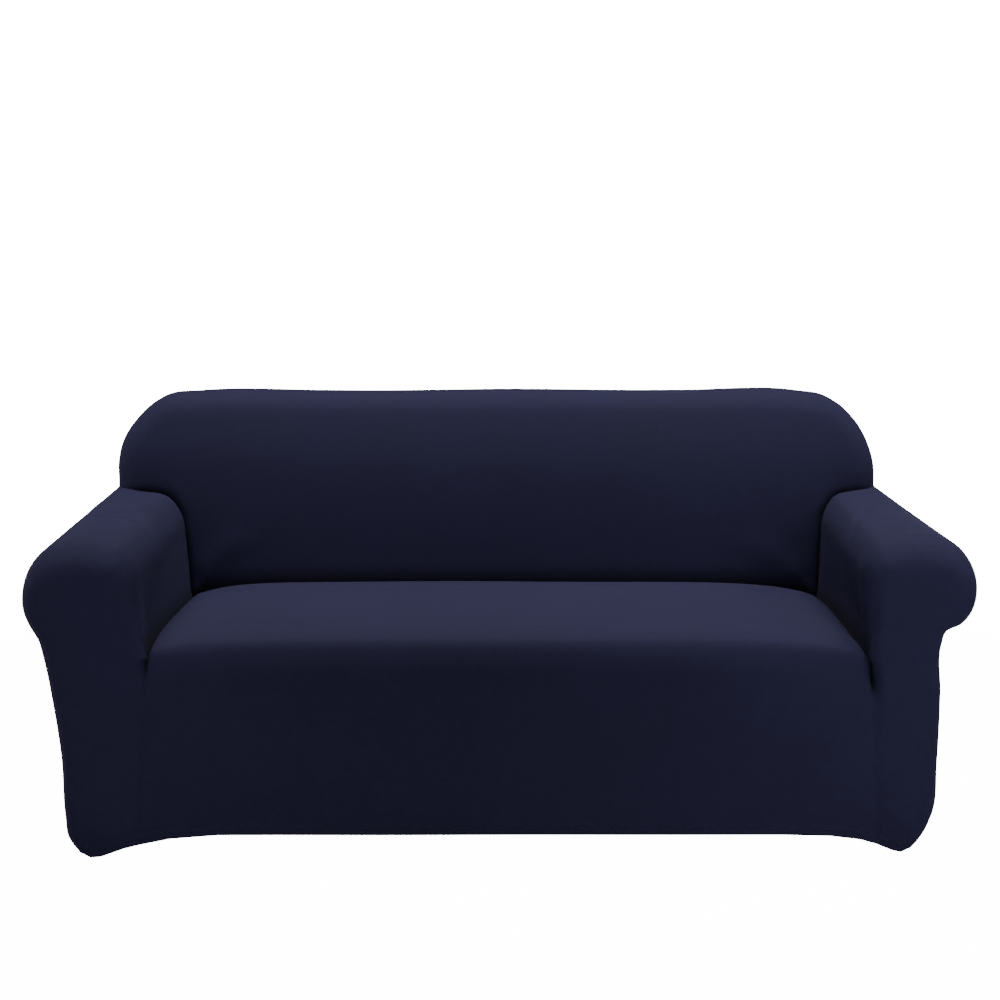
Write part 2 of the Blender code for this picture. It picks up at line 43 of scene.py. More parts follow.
# the whole cover: the planes and radii of the sofa that it is pulled over, in metres
cover = {
    "frontY": -0.430,
    "rearY": 0.430,
    "rearRadius": 0.034,
    "backRadius": 0.055,
    "cellSize": 0.0115,  # the side of one mesh cell
    "clothThickness": 0.0012,
    "closestRows": 0.02,  # rows nearer to each other than this share of a step are dropped
    "stretch": 1.18,  # how far the cut panels are stretched, by area
}
seamSet = 1.0 - np.cos(np.radians(45.0))  # a seam lies half-way round an edge's radius


def smoothLine(rows, places):
    # a smooth line through the rows, read at row numbers that need not be whole
    chord = np.maximum(np.linalg.norm(np.diff(rows, axis=0), axis=1)[:, None], 1e-9)
    slope = np.diff(rows, axis=0) / chord
    middle = (slope[:-1] * chord[1:] + slope[1:] * chord[:-1]) / (chord[:-1] + chord[1:])
    tangent = np.vstack([slope[:1], middle, slope[-1:]])
    span = np.clip(np.floor(places).astype(int), 0, len(rows) - 2)
    t = (places - span)[:, None]
    return (
        (2 * t**3 - 3 * t**2 + 1) * rows[span]
        + (t**3 - 2 * t**2 + t) * chord[span] * tangent[span]
        + (3 * t**2 - 2 * t**3) * rows[span + 1]
        + (t**3 - t**2) * chord[span] * tangent[span + 1]
    )


def columnsOf(table, names, *wanted):
    # some columns of a table whose rows are named
    rows = np.array(list(table.values()), float)
    return rows[:, [names.index(w) for w in wanted]]


def rowOf(table, name):
    return list(table).index(name)


def stepAt(table, names, places):
    # how many of the plain steps between rows come before a place
    steps = columnsOf(table, names, "steps")[:-1, 0]
    return np.interp(places, np.arange(len(steps) + 1), np.concatenate([[0], np.cumsum(steps)]))


def roundOff(distance, radius):
    # how far a round edge falls away at a distance inside its outline
    short = np.clip(radius - distance, 0.0, radius)
    return radius - np.sqrt(radius**2 - short**2)


def ease(t):
    t = np.clip(t, 0.0, 1.0)
    return t * t * (3.0 - 2.0 * t)


def leftOf(line):
    # the direction to the left of a plane line, at each of its points
    run = np.gradient(line, axis=0)
    run /= np.maximum(np.linalg.norm(run, axis=1)[:, None], 1e-9)
    return np.column_stack([-run[:, 1], run[:, 0]])


def runOf(line):
    # how far along the line each of its points lies
    return np.concatenate([[0], np.linalg.norm(np.diff(line, axis=0), axis=1).cumsum()])


def nearestOn(line, points, values):
    # the distance from each point to a line, and the line's value there
    start, run = line[:-1], np.diff(line, axis=0)
    size = np.maximum((run**2).sum(1), 1e-12)
    atOnce = 2000  # points, so that the arrays stay small
    gap, value = [], []
    for part in np.array_split(points, max(1, len(points) // atOnce)):
        share = np.clip(((part[:, None] - start) * run).sum(2) / size, 0.0, 1.0)
        away = np.linalg.norm(part[:, None] - start - share[:, :, None] * run, axis=2)
        best = away.argmin(1)
        row = np.arange(len(part))
        gap.append(away[row, best])
        value.append(values[best] + share[row, best] * (values[best + 1] - values[best]))
    return np.concatenate(gap), np.concatenate(value)


def distanceTo(line, points):
    return nearestOn(line, points, np.zeros(len(line)))[0]


# the arms' sections at the front and at the rear, from the seat crease over the roll to the hem
armNames = ("frontX", "frontZ", "radius", "rearX", "rearZ", "rearDepth", "steps")
rightArm = {
    "crease": (0.726, 0.402, 0.016, 0.700, 0.412, 0.00, 1),
    "innerLow": (0.720, 0.460, 0.036, 0.703, 0.480, 0.00, 1),
    "inner": (0.712, 0.530, 0.046, 0.706, 0.545, 0.00, 1),
    "innerTop": (0.713, 0.588, 0.054, 0.714, 0.606, 0.00, 2),
    "shoulder": (0.735, 0.624, 0.064, 0.736, 0.640, 0.00, 2),
    "top": (0.786, 0.641, 0.068, 0.784, 0.653, 0.00, 2),
    "topOuter": (0.849, 0.643, 0.068, 0.822, 0.654, 0.07, 1),
    "outer": (0.900, 0.624, 0.062, 0.837, 0.653, 0.24, 2),
    "outerLow": (0.930, 0.586, 0.054, 0.838, 0.650, 0.42, 2),
    "widest": (0.940, 0.540, 0.044, 0.838, 0.645, 0.58, 2),
    "under": (0.930, 0.496, 0.036, 0.838, 0.639, 0.73, 2),
    "underIn": (0.906, 0.469, 0.028, 0.838, 0.631, 0.87, 1),
    "tuck": (0.879, 0.457, 0.022, 0.838, 0.617, 1.00, 1),
    "neck": (0.869, 0.430, 0.022, 0.838, 0.530, 1.00, 2),
    "wall": (0.869, 0.335, 0.024, 0.838, 0.370, 1.00, 2),
    "wallLow": (0.865, 0.195, 0.022, 0.837, 0.210, 1.00, 2),
    "base": (0.856, 0.085, 0.020, 0.832, 0.090, 1.00, 1),
    "notch": (0.839, 0.051, 0.014, 0.820, 0.045, 1.00, 1),
    "hem": (0.815, 0.024, 0.008, 0.808, 0.008, 1.00, 0),
}
leftArm = {
    "crease": (0.694, 0.408, 0.017, 0.682, 0.412, 0.00, 1),
    "innerLow": (0.702, 0.460, 0.030, 0.686, 0.480, 0.00, 1),
    "inner": (0.709, 0.530, 0.042, 0.692, 0.545, 0.00, 1),
    "innerTop": (0.715, 0.584, 0.056, 0.703, 0.604, 0.00, 2),
    "shoulder": (0.738, 0.620, 0.066, 0.730, 0.638, 0.00, 2),
    "top": (0.786, 0.636, 0.070, 0.792, 0.651, 0.00, 2),
    "topOuter": (0.842, 0.637, 0.070, 0.837, 0.653, 0.07, 1),
    "outer": (0.891, 0.619, 0.064, 0.853, 0.652, 0.24, 2),
    "outerLow": (0.927, 0.580, 0.054, 0.854, 0.649, 0.42, 2),
    "widest": (0.940, 0.539, 0.044, 0.854, 0.644, 0.58, 2),
    "under": (0.939, 0.497, 0.036, 0.854, 0.638, 0.73, 2),
    "underIn": (0.925, 0.465, 0.028, 0.854, 0.630, 0.87, 1),
    "tuck": (0.909, 0.438, 0.024, 0.854, 0.616, 1.00, 1),
    "neck": (0.900, 0.406, 0.022, 0.854, 0.530, 1.00, 2),
    "wall": (0.885, 0.322, 0.024, 0.854, 0.370, 1.00, 2),
    "wallLow": (0.868, 0.195, 0.022, 0.850, 0.210, 1.00, 2),
    "base": (0.863, 0.085, 0.020, 0.842, 0.090, 1.00, 1),
    "notch": (0.857, 0.046, 0.014, 0.829, 0.045, 1.00, 1),
    "hem": (0.833, 0.014, 0.008, 0.815, 0.008, 1.00, 0),
}
armCloth = {
    "creaseY": -0.413,  # how far the front end of each seat crease is tucked in
    "hemSpread": 0.5,  # how far the hem swings out where it rises
    "rollStart": "top",
    "bandStart": "outer",
    "rollEnd": "tuck",
    "faceTopStart": "shoulder",
    "faceBulge": 0.004,
    "bulgeReach": 0.09,
    "ringWidth": 0.016,  # the rings of faces round the arm's front
    "spacing": 0.0065,  # between the points within them
    "hemLift": {"wallLow": 0.0, "base": 0.5, "notch": 0.75, "hem": 1.0},
}
armSides = {1: rightArm, -1: leftArm}
edgeSteps = np.array([0.0, 0.06, 0.13, 0.23, 0.40, 0.60, 0.80, 1.0])  # across the seat's front edge
edgeBlend = 0.022  # metres over which a panel's face eases over to the depth of its edge
ringSteps = np.array([0.0, 0.08, 0.18, 0.32, 0.50, 0.74, 1.0])  # across the rings along a panel's edge

# the seat, with the apron in front of it
seatNames = ("middleY", "middleZ", "rightX", "rightY", "rightZ", "leftX", "leftY", "leftZ")
seatLine = {
    "hem": (-0.430, 0.050, 0.744, -0.430, 0.033, 0.716, -0.430, 0.030),
    "hemTop": (-0.431, 0.085, 0.743, -0.430, 0.072, 0.715, -0.430, 0.072),
    "low": (-0.433, 0.170, 0.741, -0.431, 0.160, 0.711, -0.431, 0.160),
    "middle": (-0.433, 0.260, 0.738, -0.431, 0.245, 0.706, -0.431, 0.250),
    "high": (-0.431, 0.345, 0.736, -0.428, 0.310, 0.700, -0.429, 0.325),
    "edgeLow": (-0.427, 0.400, 0.733, -0.418, 0.357, 0.697, -0.422, 0.377),
    "edge": (-0.412, 0.436, 0.0, 0.0, 0.0, 0.0, 0.0, 0.0),  # the arm's crease row
    "edgeTop": (-0.376, 0.453, 0.723, -0.385, 0.412, 0.697, -0.385, 0.412),
    "front": (-0.320, 0.458, 0.721, -0.330, 0.414, 0.700, -0.330, 0.414),
    "centre": (-0.130, 0.463, 0.718, -0.140, 0.414, 0.696, -0.140, 0.414),
    "rear": (0.080, 0.461, 0.711, 0.080, 0.413, 0.686, 0.080, 0.413),
    "roll": (0.150, 0.457, 0.703, 0.150, 0.412, 0.683, 0.150, 0.412),
    "crease": (0.185, 0.435, 0.700, 0.185, 0.412, 0.682, 0.185, 0.412),
}
seatFallPower = 6.0  # how late the seat falls away towards the arms

# the back, seen from the front
backNames = ("seatX", "rightX", "rightZ", "leftX", "leftZ", "steps")
backLine = {
    "arm": (0.682, 0.838, 0.645, 0.854, 0.644, 1),
    "side": (0.655, 0.837, 0.693, 0.855, 0.702, 1),
    "sideHigh": (0.622, 0.825, 0.741, 0.843, 0.753, 2),
    "corner": (0.580, 0.796, 0.796, 0.812, 0.802, 2),
    "cornerIn": (0.520, 0.744, 0.843, 0.758, 0.848, 2),
    "topEnd": (0.450, 0.668, 0.857, 0.672, 0.858, 2),
    "top": (0.300, 0.420, 0.858, 0.420, 0.858, 3),
    "middle": (0.000, 0.000, 0.859, 0.000, 0.859, 0),
}
backCloth = {
    "topEase": 0.73,  # how fast the face leans further back near its top
    "topEaseFrom": 0.69,
    "lateRoll": 0.65,  # how much later the roll starts where the face leans back
    "footY": 0.185,
    "footZ": 0.412,
    "slope": 0.17,
    "crown": 0.016,
    "crownFrom": 0.03,
    "crownHeight": 0.40,
    "halfWidth": 0.84,
    "rearBulge": 0.004,
    "bulgeReach": 0.3,
    "hemCorner": 0.05,
    "ringWidth": 0.024,
    "spacing": 0.014,
    "sideEnd": "cornerIn",
    "edgeReach": 0.30,
}

hem = {
    "front": {
        -0.833: 0.014, -0.812: 0.003, -0.790: 0.006, -0.746: 0.022, -0.714: 0.030, -0.654: 0.042,
        -0.560: 0.049, 0.560: 0.050, 0.654: 0.048, 0.713: 0.041, 0.745: 0.032, 0.777: 0.019,
        0.795: 0.015, 0.815: 0.024,
    },
    "rise": {0.0: 0.0, 0.025: -0.005, 0.05: -0.004, 0.09: 0.004, 0.15: 0.020, 0.24: 0.032, 0.4: 0.036},
    "foldDepth": 0.024,
    "foldStep": 0.0007,  # how far the doubled cloth stands out
    "foldRound": 0.004,
    "edgeRound": 0.003,
    "turnDepth": 0.0030,  # the cloth that is turned up behind the edge
    "turnIn": 0.006,
    "stitchSpacing": 0.0060,
    "stitchLength": 0.0036,
    "stitchRadius": 0.00042,
    "stitchLift": 0.0002,
    "firstRow": 0.003,  # below the fold's end
    "rowGap": 0.0045,
    "longestStep": 0.05,  # a longer one is a break in the hem
}


def frontHem(x):
    return np.interp(x, list(hem["front"]), list(hem["front"].values()))


def hemRise(distance):
    return np.interp(distance, list(hem["rise"]), list(hem["rise"].values()))


def backFaceY(x, z):
    lean = backCloth["footY"] + backCloth["slope"] * (z - backCloth["footZ"])
    across = np.clip(1.0 - np.abs(x / backCloth["halfWidth"]) ** 4, 0.0, 1.0)
    height = (z - backCloth["footZ"] - backCloth["crownFrom"]) / backCloth["crownHeight"]
    upwards = np.sin(np.pi * np.clip(height, 0.0, 1.0))
    topLean = backCloth["topEase"] * np.maximum(z - backCloth["topEaseFrom"], 0.0) ** 2
    return lean - backCloth["crown"] * across * upwards + topLean


def spreadPlaces(lengths, nearStart=(), nearEnd=()):
    # row numbers about a cell apart, with closer ones beside a seam
    counts = [max(1, int(np.ceil(length / cover["cellSize"]))) for length in lengths]
    places = [i + np.arange(n) / n for i, n in enumerate(counts)]
    places.append([float(len(counts))])
    places.append([d / lengths[0] for d in nearStart])
    places.append([len(counts) - d / lengths[-1] for d in nearEnd])
    found = np.unique(np.round(np.concatenate(places), 4))
    close = np.concatenate([[False], np.diff(found) < cover["closestRows"]])
    close &= np.abs(found - np.round(found)) > 1e-6
    return found[~close]


def placeOf(places, row):
    return int(np.argmin(np.abs(places - row)))


def lengthsOf(*lines):
    # the longest step between two rows, over several lines
    return np.max([np.linalg.norm(np.diff(line, axis=0), axis=1) for line in lines], axis=0)


besideSeam = (0.0022, 0.0050, 0.0090, 0.0140, 0.0200)
besideHem = (0.003, 0.0225, 0.0265)
armEnds = [(table, end) for table in armSides.values() for end in ("front", "rear")]
armLines = [columnsOf(table, armNames, end + "X", end + "Z") for table, end in armEnds]
profile = spreadPlaces(lengthsOf(*armLines), nearStart=besideSeam, nearEnd=besideHem)
seatLengths = lengthsOf(columnsOf(seatLine, seatNames, "middleY", "middleZ"))
armEdge = rowOf(seatLine, "edge")
alongSeat = spreadPlaces(seatLengths, nearStart=besideHem, nearEnd=besideSeam)
awayFromEdge = alongSeat[(alongSeat <= armEdge) | (alongSeat >= armEdge + 1)]
alongSeat = np.unique(np.concatenate([awayFromEdge, armEdge + edgeSteps]))
halfLines = [columnsOf(backLine, backNames, name + "X", name + "Z") for name in ("right", "left")]
acrossHalf = spreadPlaces(lengthsOf(*halfLines), nearStart=besideSeam)


def armFront(side):
    table = armSides[side]
    front = smoothLine(columnsOf(table, armNames, "frontX", "frontZ"), profile)
    radius = smoothLine(columnsOf(table, armNames, "radius"), profile)[:, 0]
    return front, radius


def armRear(side):
    # the arm's rear edge: up the back's face, over the arm, along the back's side and down the corner
    table = armSides[side]
    rear = smoothLine(columnsOf(table, armNames, "rearX", "rearZ"), profile)
    depth = smoothLine(columnsOf(table, armNames, "rearDepth"), profile)[:, 0]
    start = rowOf(table, armCloth["bandStart"])
    at = placeOf(profile, start)
    reach = roundOff(rear[at, 0] - rear[:, 0], cover["backRadius"])
    y = backFaceY(rear[:, 0], rear[:, 1]) + np.where(profile <= start, reach, cover["backRadius"])
    seamY = cover["rearY"] - seamSet * cover["rearRadius"]
    along = np.clip((depth - depth[at]) / (1.0 - depth[at]), 0.0, 1.0)
    y = np.where(profile > start, y[at] + along * (seamY - y[at]), y)
    return atDepth(rear * (side, 1), y)


def atDepth(flat, y):
    return np.column_stack([flat[:, 0], y, flat[:, 1]])


def roundedCorner(points, side):
    # the sides turn in round the rear corners
    points[:, 0] -= side * roundOff(cover["rearY"] - points[:, 1], cover["rearRadius"])
    return points


def seatSection():
    return smoothLine(columnsOf(seatLine, seatNames, "middleY", "middleZ"), alongSeat)


def hemShare(heights):
    low = heights[alongSeat == rowOf(seatLine, "low")][0]
    return np.clip((heights - heights[0]) / (low - heights[0]), 0.0, 1.0)


def seatEdge(side):
    name = "right" if side > 0 else "left"
    rows = columnsOf(seatLine, seatNames, name + "X", name + "Y", name + "Z")
    rows[:, 0] *= side
    creaseX, creaseZ = armSides[side]["crease"][:2]
    rows[armEdge] = (side * creaseX, armCloth["creaseY"], creaseZ)
    rows[-1] = armRear(side)[0]
    line = smoothLine(rows, alongSeat)
    below = alongSeat < rowOf(seatLine, "low")
    low = line[alongSeat == rowOf(seatLine, "low")][0, 2]
    share = hemShare(seatSection()[:, 1])[below]
    line[below, 2] = frontHem(line[0, 0]) + share * (low - frontHem(line[0, 0]))
    return line


def backOutline():
    halves = []
    for side, name in ((-1, "left"), (1, "right")):
        line = smoothLine(columnsOf(backLine, backNames, name + "X", name + "Z", "seatX"), acrossHalf)
        line = line * (side, 1, side)
        halves.append(line if side < 0 else line[::-1][1:])
    whole = np.vstack(halves)
    return whole[:, :2], whole[:, 2]


def gridUv(rows):
    # arc lengths, so that the knit keeps its size: across from the middle, and along from the start
    grid = np.array(rows)
    across = np.linalg.norm(np.diff(grid, axis=1), axis=2).cumsum(1)
    across = np.concatenate([np.zeros((len(grid), 1)), across], axis=1)
    across -= across[:, across.shape[1] // 2][:, None]
    along = np.linalg.norm(np.diff(grid, axis=0), axis=2).cumsum(0)
    along = np.concatenate([np.zeros((1, grid.shape[1])), along], axis=0)
    return np.stack([across, along], axis=2).reshape(-1, 2)


def gridPanel(rows, hemPoints=(), flip=False, **seams):
    # a panel from its rows of points, with the seams that its neighbours need
    count, faces = len(rows[0]), []
    for i in range(len(rows) - 1):
        for a in range(i * count, i * count + count - 1):
            face = (a, a + 1, a + count + 1, a + count)
            faces.append(face[::-1] if flip else face)
    return {"points": np.vstack(rows), "faces": faces, "uv": gridUv(rows), "hem": set(hemPoints), **seams}


def makeSeat():
    middle, right, left = seatSection(), seatEdge(1), seatEdge(-1)
    _, seatX = backOutline()
    share = seatX / seatX.max()
    fall = 1.0 - np.sqrt(1.0 - np.abs(share) ** seatFallPower)
    rows = []
    for (y, z), rightPoint, leftPoint in zip(middle, right, left):
        edge = np.where(share[:, None] > 0, rightPoint, leftPoint)
        row = np.array([0.0, y, z]) + fall[:, None] * (edge - (0.0, y, z))
        row[:, 0] = np.abs(share) * edge[:, 0]
        rows.append(row)
    low = placeOf(alongSeat, rowOf(seatLine, "low"))
    bottom = frontHem(rows[0][:, 0])
    rise = hemShare(middle[:, 1])
    for i in range(low):
        rows[i][:, 2] = bottom + rise[i] * (rows[low][:, 2] - bottom)
    rows[-1][:, 1] = backFaceY(rows[-1][:, 0], rows[-1][:, 2])
    return gridPanel(rows, range(len(share)), lastRow=rows[-1])


def makeArm(side):
    front, radius = armFront(side)
    rear = armRear(side)
    outward = leftOf(front)
    crease = seatEdge(side)[alongSeat >= armEdge]
    places = alongSeat[alongSeat >= armEdge]
    hold = np.clip(1.0 - profile / rowOf(rightArm, "innerTop"), 0.0, 1.0) ** 2
    lift = armCloth["hemLift"]
    lift = np.interp(profile, [rowOf(rightArm, n) for n in lift], list(lift.values())) ** 2
    edgeTopY = crease[places == armEdge + 1][0, 1]
    rows = []
    for place, point in zip(places, crease):
        if place <= armEdge + 1:  # round the front edge
            turn = np.radians(45.0 + 45.0 * (place - armEdge))
            flat = front - (radius * (1.0 - np.sin(turn)))[:, None] * outward
            row = atDepth(flat * (side, 1), cover["frontY"] + radius * (1.0 - np.cos(turn)))
            if place == armEdge:
                hemDrop = frontHem(row[-1, 0]) - row[-1, 2]
            row[-1, 2] += hemDrop * (armEdge + 1 - place)
        else:
            s = (point[1] - edgeTopY) / (crease[-1, 1] - edgeTopY)
            start = atDepth(front * (side, 1), cover["frontY"] + radius)
            row = start + s * (rear - start)
        row = row + np.outer(hold, point - row[0])
        corner = np.minimum(row[:, 1] - cover["frontY"], cover["rearY"] - row[:, 1])
        rise = lift * hemRise(corner) * min(1.0, place - armEdge)
        row[:, 2] += rise
        row[:, 0] += side * armCloth["hemSpread"] * rise
        rows.append(roundedCorner(row, side))
    lowest = [(i + 1) * len(profile) - 1 for i in range(len(rows))]
    return gridPanel(rows, lowest, flip=side < 0, frontSeam=rows[0], rearSeam=rows[-1])


def backLeanOut(places, normal):
    # how far the face of the backrest leans back towards its outline, in radians
    step, steepest = 0.001, 0.6
    ahead = places - step * normal
    rise = (backFaceY(ahead[:, 0], ahead[:, 1]) - backFaceY(places[:, 0], places[:, 1])) / step
    return np.arctan(np.clip(rise, 0.0, steepest))


def makeInsideBack(seat, arms):
    outline, _ = backOutline()
    normal = -leftOf(outline)
    rightEdge, leftEdge = arms[1]["rearSeam"], arms[-1]["rearSeam"]
    inner = outline + cover["backRadius"] * normal
    lean = backLeanOut(inner, normal)
    rollHeight = cover["backRadius"] * (1.0 - backCloth["lateRoll"] * np.sin(lean))
    inner = outline + rollHeight[:, None] * normal
    lean = backLeanOut(inner, normal)
    rollDepth = rollHeight / (1 - np.sin(lean))
    faceEnd, bandStart, last = (rowOf(rightArm, armCloth[n]) for n in ("rollStart", "bandStart", "rollEnd"))
    seamY = cover["rearY"] - seamSet * cover["rearRadius"]
    half = stepAt(backLine, backNames, acrossHalf)
    share = np.concatenate([half, 2 * half[-1] - half[::-1][1:]]) / (2 * half[-1])
    leftPull = np.clip(1.0 - share / backCloth["edgeReach"], 0.0, 1.0) ** 2
    rightPull = leftPull[::-1]
    faceY = backFaceY(inner[:, 0], inner[:, 1])
    startY = rightEdge[placeOf(profile, bandStart), 1]
    crease = seat["lastRow"]
    rows = []
    for i, place in enumerate(profile[profile <= last]):
        step = stepAt(rightArm, armNames, np.array([place, faceEnd, bandStart]))
        if place <= faceEnd:
            b = step[0] / step[1]
            flat = (1 - b) * crease[:, [0, 2]] + b * inner
            row = atDepth(flat, backFaceY(flat[:, 0], flat[:, 1]))
        elif place <= bandStart:
            turn = lean + (0.5 * np.pi - lean) * (step[0] - step[1]) / (step[2] - step[1])
            flat = inner - (rollDepth * (np.sin(turn) - np.sin(lean)))[:, None] * normal
            row = atDepth(flat, faceY + rollDepth * (np.cos(lean) - np.cos(turn)))
        else:
            t = (rightEdge[i, 1] - startY) / (seamY - startY)
            rollEnd = faceY + rollDepth * np.cos(lean)
            y = rollEnd + t * (seamY - rollEnd)
            flat = outline + roundOff(cover["rearY"] - y, cover["rearRadius"])[:, None] * normal
            row = atDepth(flat, y)
        row = row + np.outer(leftPull, leftEdge[i] - row[0]) + np.outer(rightPull, rightEdge[i] - row[-1])
        rows.append(row)
    return gridPanel(rows, topSeam=rows[-1])


def insideOf(loop, points):
    # which points lie inside a closed line
    inside = np.zeros(len(points), bool)
    x, z = points.T
    for (ax, az), (bx, bz) in zip(loop, np.roll(loop, -1, 0)):
        if az != bz:
            inside ^= ((az > z) != (bz > z)) & (x < (bx - ax) * (z - az) / (bz - az) + ax)
    return inside


lattice = {"rowGap": 0.866, "clearance": 0.55}  # shares of the points' spacing
ringedEdge = {"rounds": 16, "cornerWidth": 0.003, "widening": 0.5}


def fillLoop(loop, spacing):
    # an even lattice of points inside a closed line, and the triangles that join them and the line
    low, high = loop.min(0), loop.max(0)
    across = np.arange(low[0], high[0], spacing)
    found = []
    for k, z in enumerate(np.arange(low[1], high[1], spacing * lattice["rowGap"])):
        found.append(np.column_stack([across + (k % 2) * spacing / 2, np.full(len(across), z)]))
    inner = np.vstack(found)
    inner = inner[insideOf(loop, inner)]
    closed = np.vstack([loop, loop[:1]])
    clear = distanceTo(closed, inner) > lattice["clearance"] * spacing
    whole = np.vstack([loop, inner[clear]])
    edges = [(i, (i + 1) % len(loop)) for i in range(len(loop))]
    within, nearness = 1, 1e-7  # triangles within the line alone; nearer points than this are one
    places = [Vector(p) for p in whole]
    _, _, triangles, origin, _, _ = delaunay_2d_cdt(places, edges, [], within, nearness, True)
    triangles = np.array([[origin[n][0] for n in face] for face in triangles])
    return whole, triangles[insideOf(loop, whole[triangles].mean(1))]


def ringedPanel(loop, hemEnd, cloth, depthOf, flip):
    # rings of faces along a closed line, and an even lattice of triangles inside the last ring
    plane = loop[:, [0, 2]]
    closed = np.vstack([plane[-1:], plane, plane[:1]])
    run = closed[2:] - closed[:-2]
    run /= np.linalg.norm(run, axis=1)[:, None]
    inward = np.column_stack([-run[:, 1], run[:, 0]])
    for _ in range(ringedEdge["rounds"]):  # even out the directions at the corners
        inward = 0.5 * inward + 0.25 * (np.roll(inward, 1, 0) + np.roll(inward, -1, 0))
    # the rings narrow towards the two hem corners
    travel = runOf(closed[:-1])[1:]
    whole = travel[-1] + np.linalg.norm(plane[0] - plane[-1])
    away = np.abs(travel[:, None] - travel[[0, hemEnd]])
    away = np.minimum(away, whole - away).min(1)
    width = np.minimum(cloth["ringWidth"], ringedEdge["cornerWidth"] + ringedEdge["widening"] * away)
    layers = [plane + inward * (width * step)[:, None] for step in ringSteps]
    count, first = len(loop), (len(layers) - 1) * len(loop)
    flat, triangles = fillLoop(layers[-1], cloth["spacing"])
    faces = []
    for k in range(len(layers) - 1):
        for i in range(count):
            j = (i + 1) % count
            faces.append((k * count + i, k * count + j, (k + 1) * count + j, (k + 1) * count + i))
    faces += [(first + a, first + b, first + c, first + c) for a, b, c in triangles]
    flat = np.vstack([*layers[:-1], flat])
    # the face's depth eases over to the line's own depth at its edge
    away, offset = nearestOn(closed[1:], flat, np.append(loop[:, 1], loop[0, 1]) - depthOf(closed[1:]))
    points = atDepth(flat, depthOf(flat) + offset * (1 - ease(away / edgeBlend)))
    points[:count] = loop
    if flip:
        faces = [(c, b, a, a) if c == d else (d, c, b, a) for a, b, c, d in faces]
    return points, faces


def makeArmFront(side, arm):
    mirror = (side, 1, 1)
    seam = arm["frontSeam"] * mirror
    outline, radii = armFront(side)
    edge = seatEdge(side)[alongSeat <= armEdge] * mirror
    topStart = placeOf(profile, rowOf(armSides[side], armCloth["faceTopStart"]))
    topEnd = len(seam) - len(edge) - topStart
    across = topEnd - topStart
    outer, inner = seam[-1], edge[0]
    share = np.linspace(0, 1, across + 1)[:, None]
    bottom = outer + share * (inner - outer)
    bottom[:, 2] = frontHem(side * bottom[:, 0])
    bottom[:, 1] = outer[1] + ease(share[:, 0] * 2) * (inner[1] - outer[1])
    upInner = np.vstack([edge, seam[1 : topStart + 1]])
    loop = np.vstack([bottom[::-1][:-1], seam[::-1][: len(seam) - 1 - topStart], upInner[::-1][:-1]])

    def depthOf(flat):
        distance, radius = nearestOn(outline, flat, radii)
        bulge = armCloth["faceBulge"] * ease(distance / armCloth["bulgeReach"])
        return cover["frontY"] - bulge + roundOff(distance, radius)

    points, faces = ringedPanel(loop, across, armCloth, depthOf, side < 0)
    points = points * mirror
    return {"points": points, "faces": faces, "uv": points[:, [0, 2]], "hem": set(range(across + 1))}


def makeOutsideBack(insideBack, arms):
    outline, _ = backOutline()
    last = placeOf(profile, rowOf(rightArm, armCloth["rollEnd"]))
    downRight, downLeft = arms[1]["rearSeam"][last:], arms[-1]["rearSeam"][last:]
    topSeam = insideBack["topSeam"]
    sideRows = placeOf(acrossHalf, rowOf(backLine, backCloth["sideEnd"]))
    top = len(outline) - 1 - 2 * sideRows
    share = np.linspace(0, 1, top + 1)[:, None]
    bottom = downLeft[-1] + share * (downRight[-1] - downLeft[-1])
    corner = np.minimum(bottom[:, 0] - bottom[0, 0], bottom[-1, 0] - bottom[:, 0])
    bottom[:, 2] += hemRise(corner)
    bottom[:, 1] += (cover["rearY"] - bottom[:, 1]) * ease(corner / backCloth["hemCorner"])
    loop = np.vstack([bottom[:-1], downRight[::-1][:-1], topSeam[::-1][:-1], downLeft[:-1]])
    walls = np.vstack([downLeft[::-1][:, [0, 2]], outline, downRight[:, [0, 2]]])

    def depthOf(flat):
        bulge = backCloth["rearBulge"] * ease(distanceTo(walls, flat) / backCloth["bulgeReach"])
        return cover["rearY"] + bulge

    points, faces = ringedPanel(loop, top, backCloth, depthOf, True)
    uv = points[:, [0, 2]] * (-1, 1)
    return {"points": points, "faces": faces, "uv": uv, "hem": set(range(top + 1))}


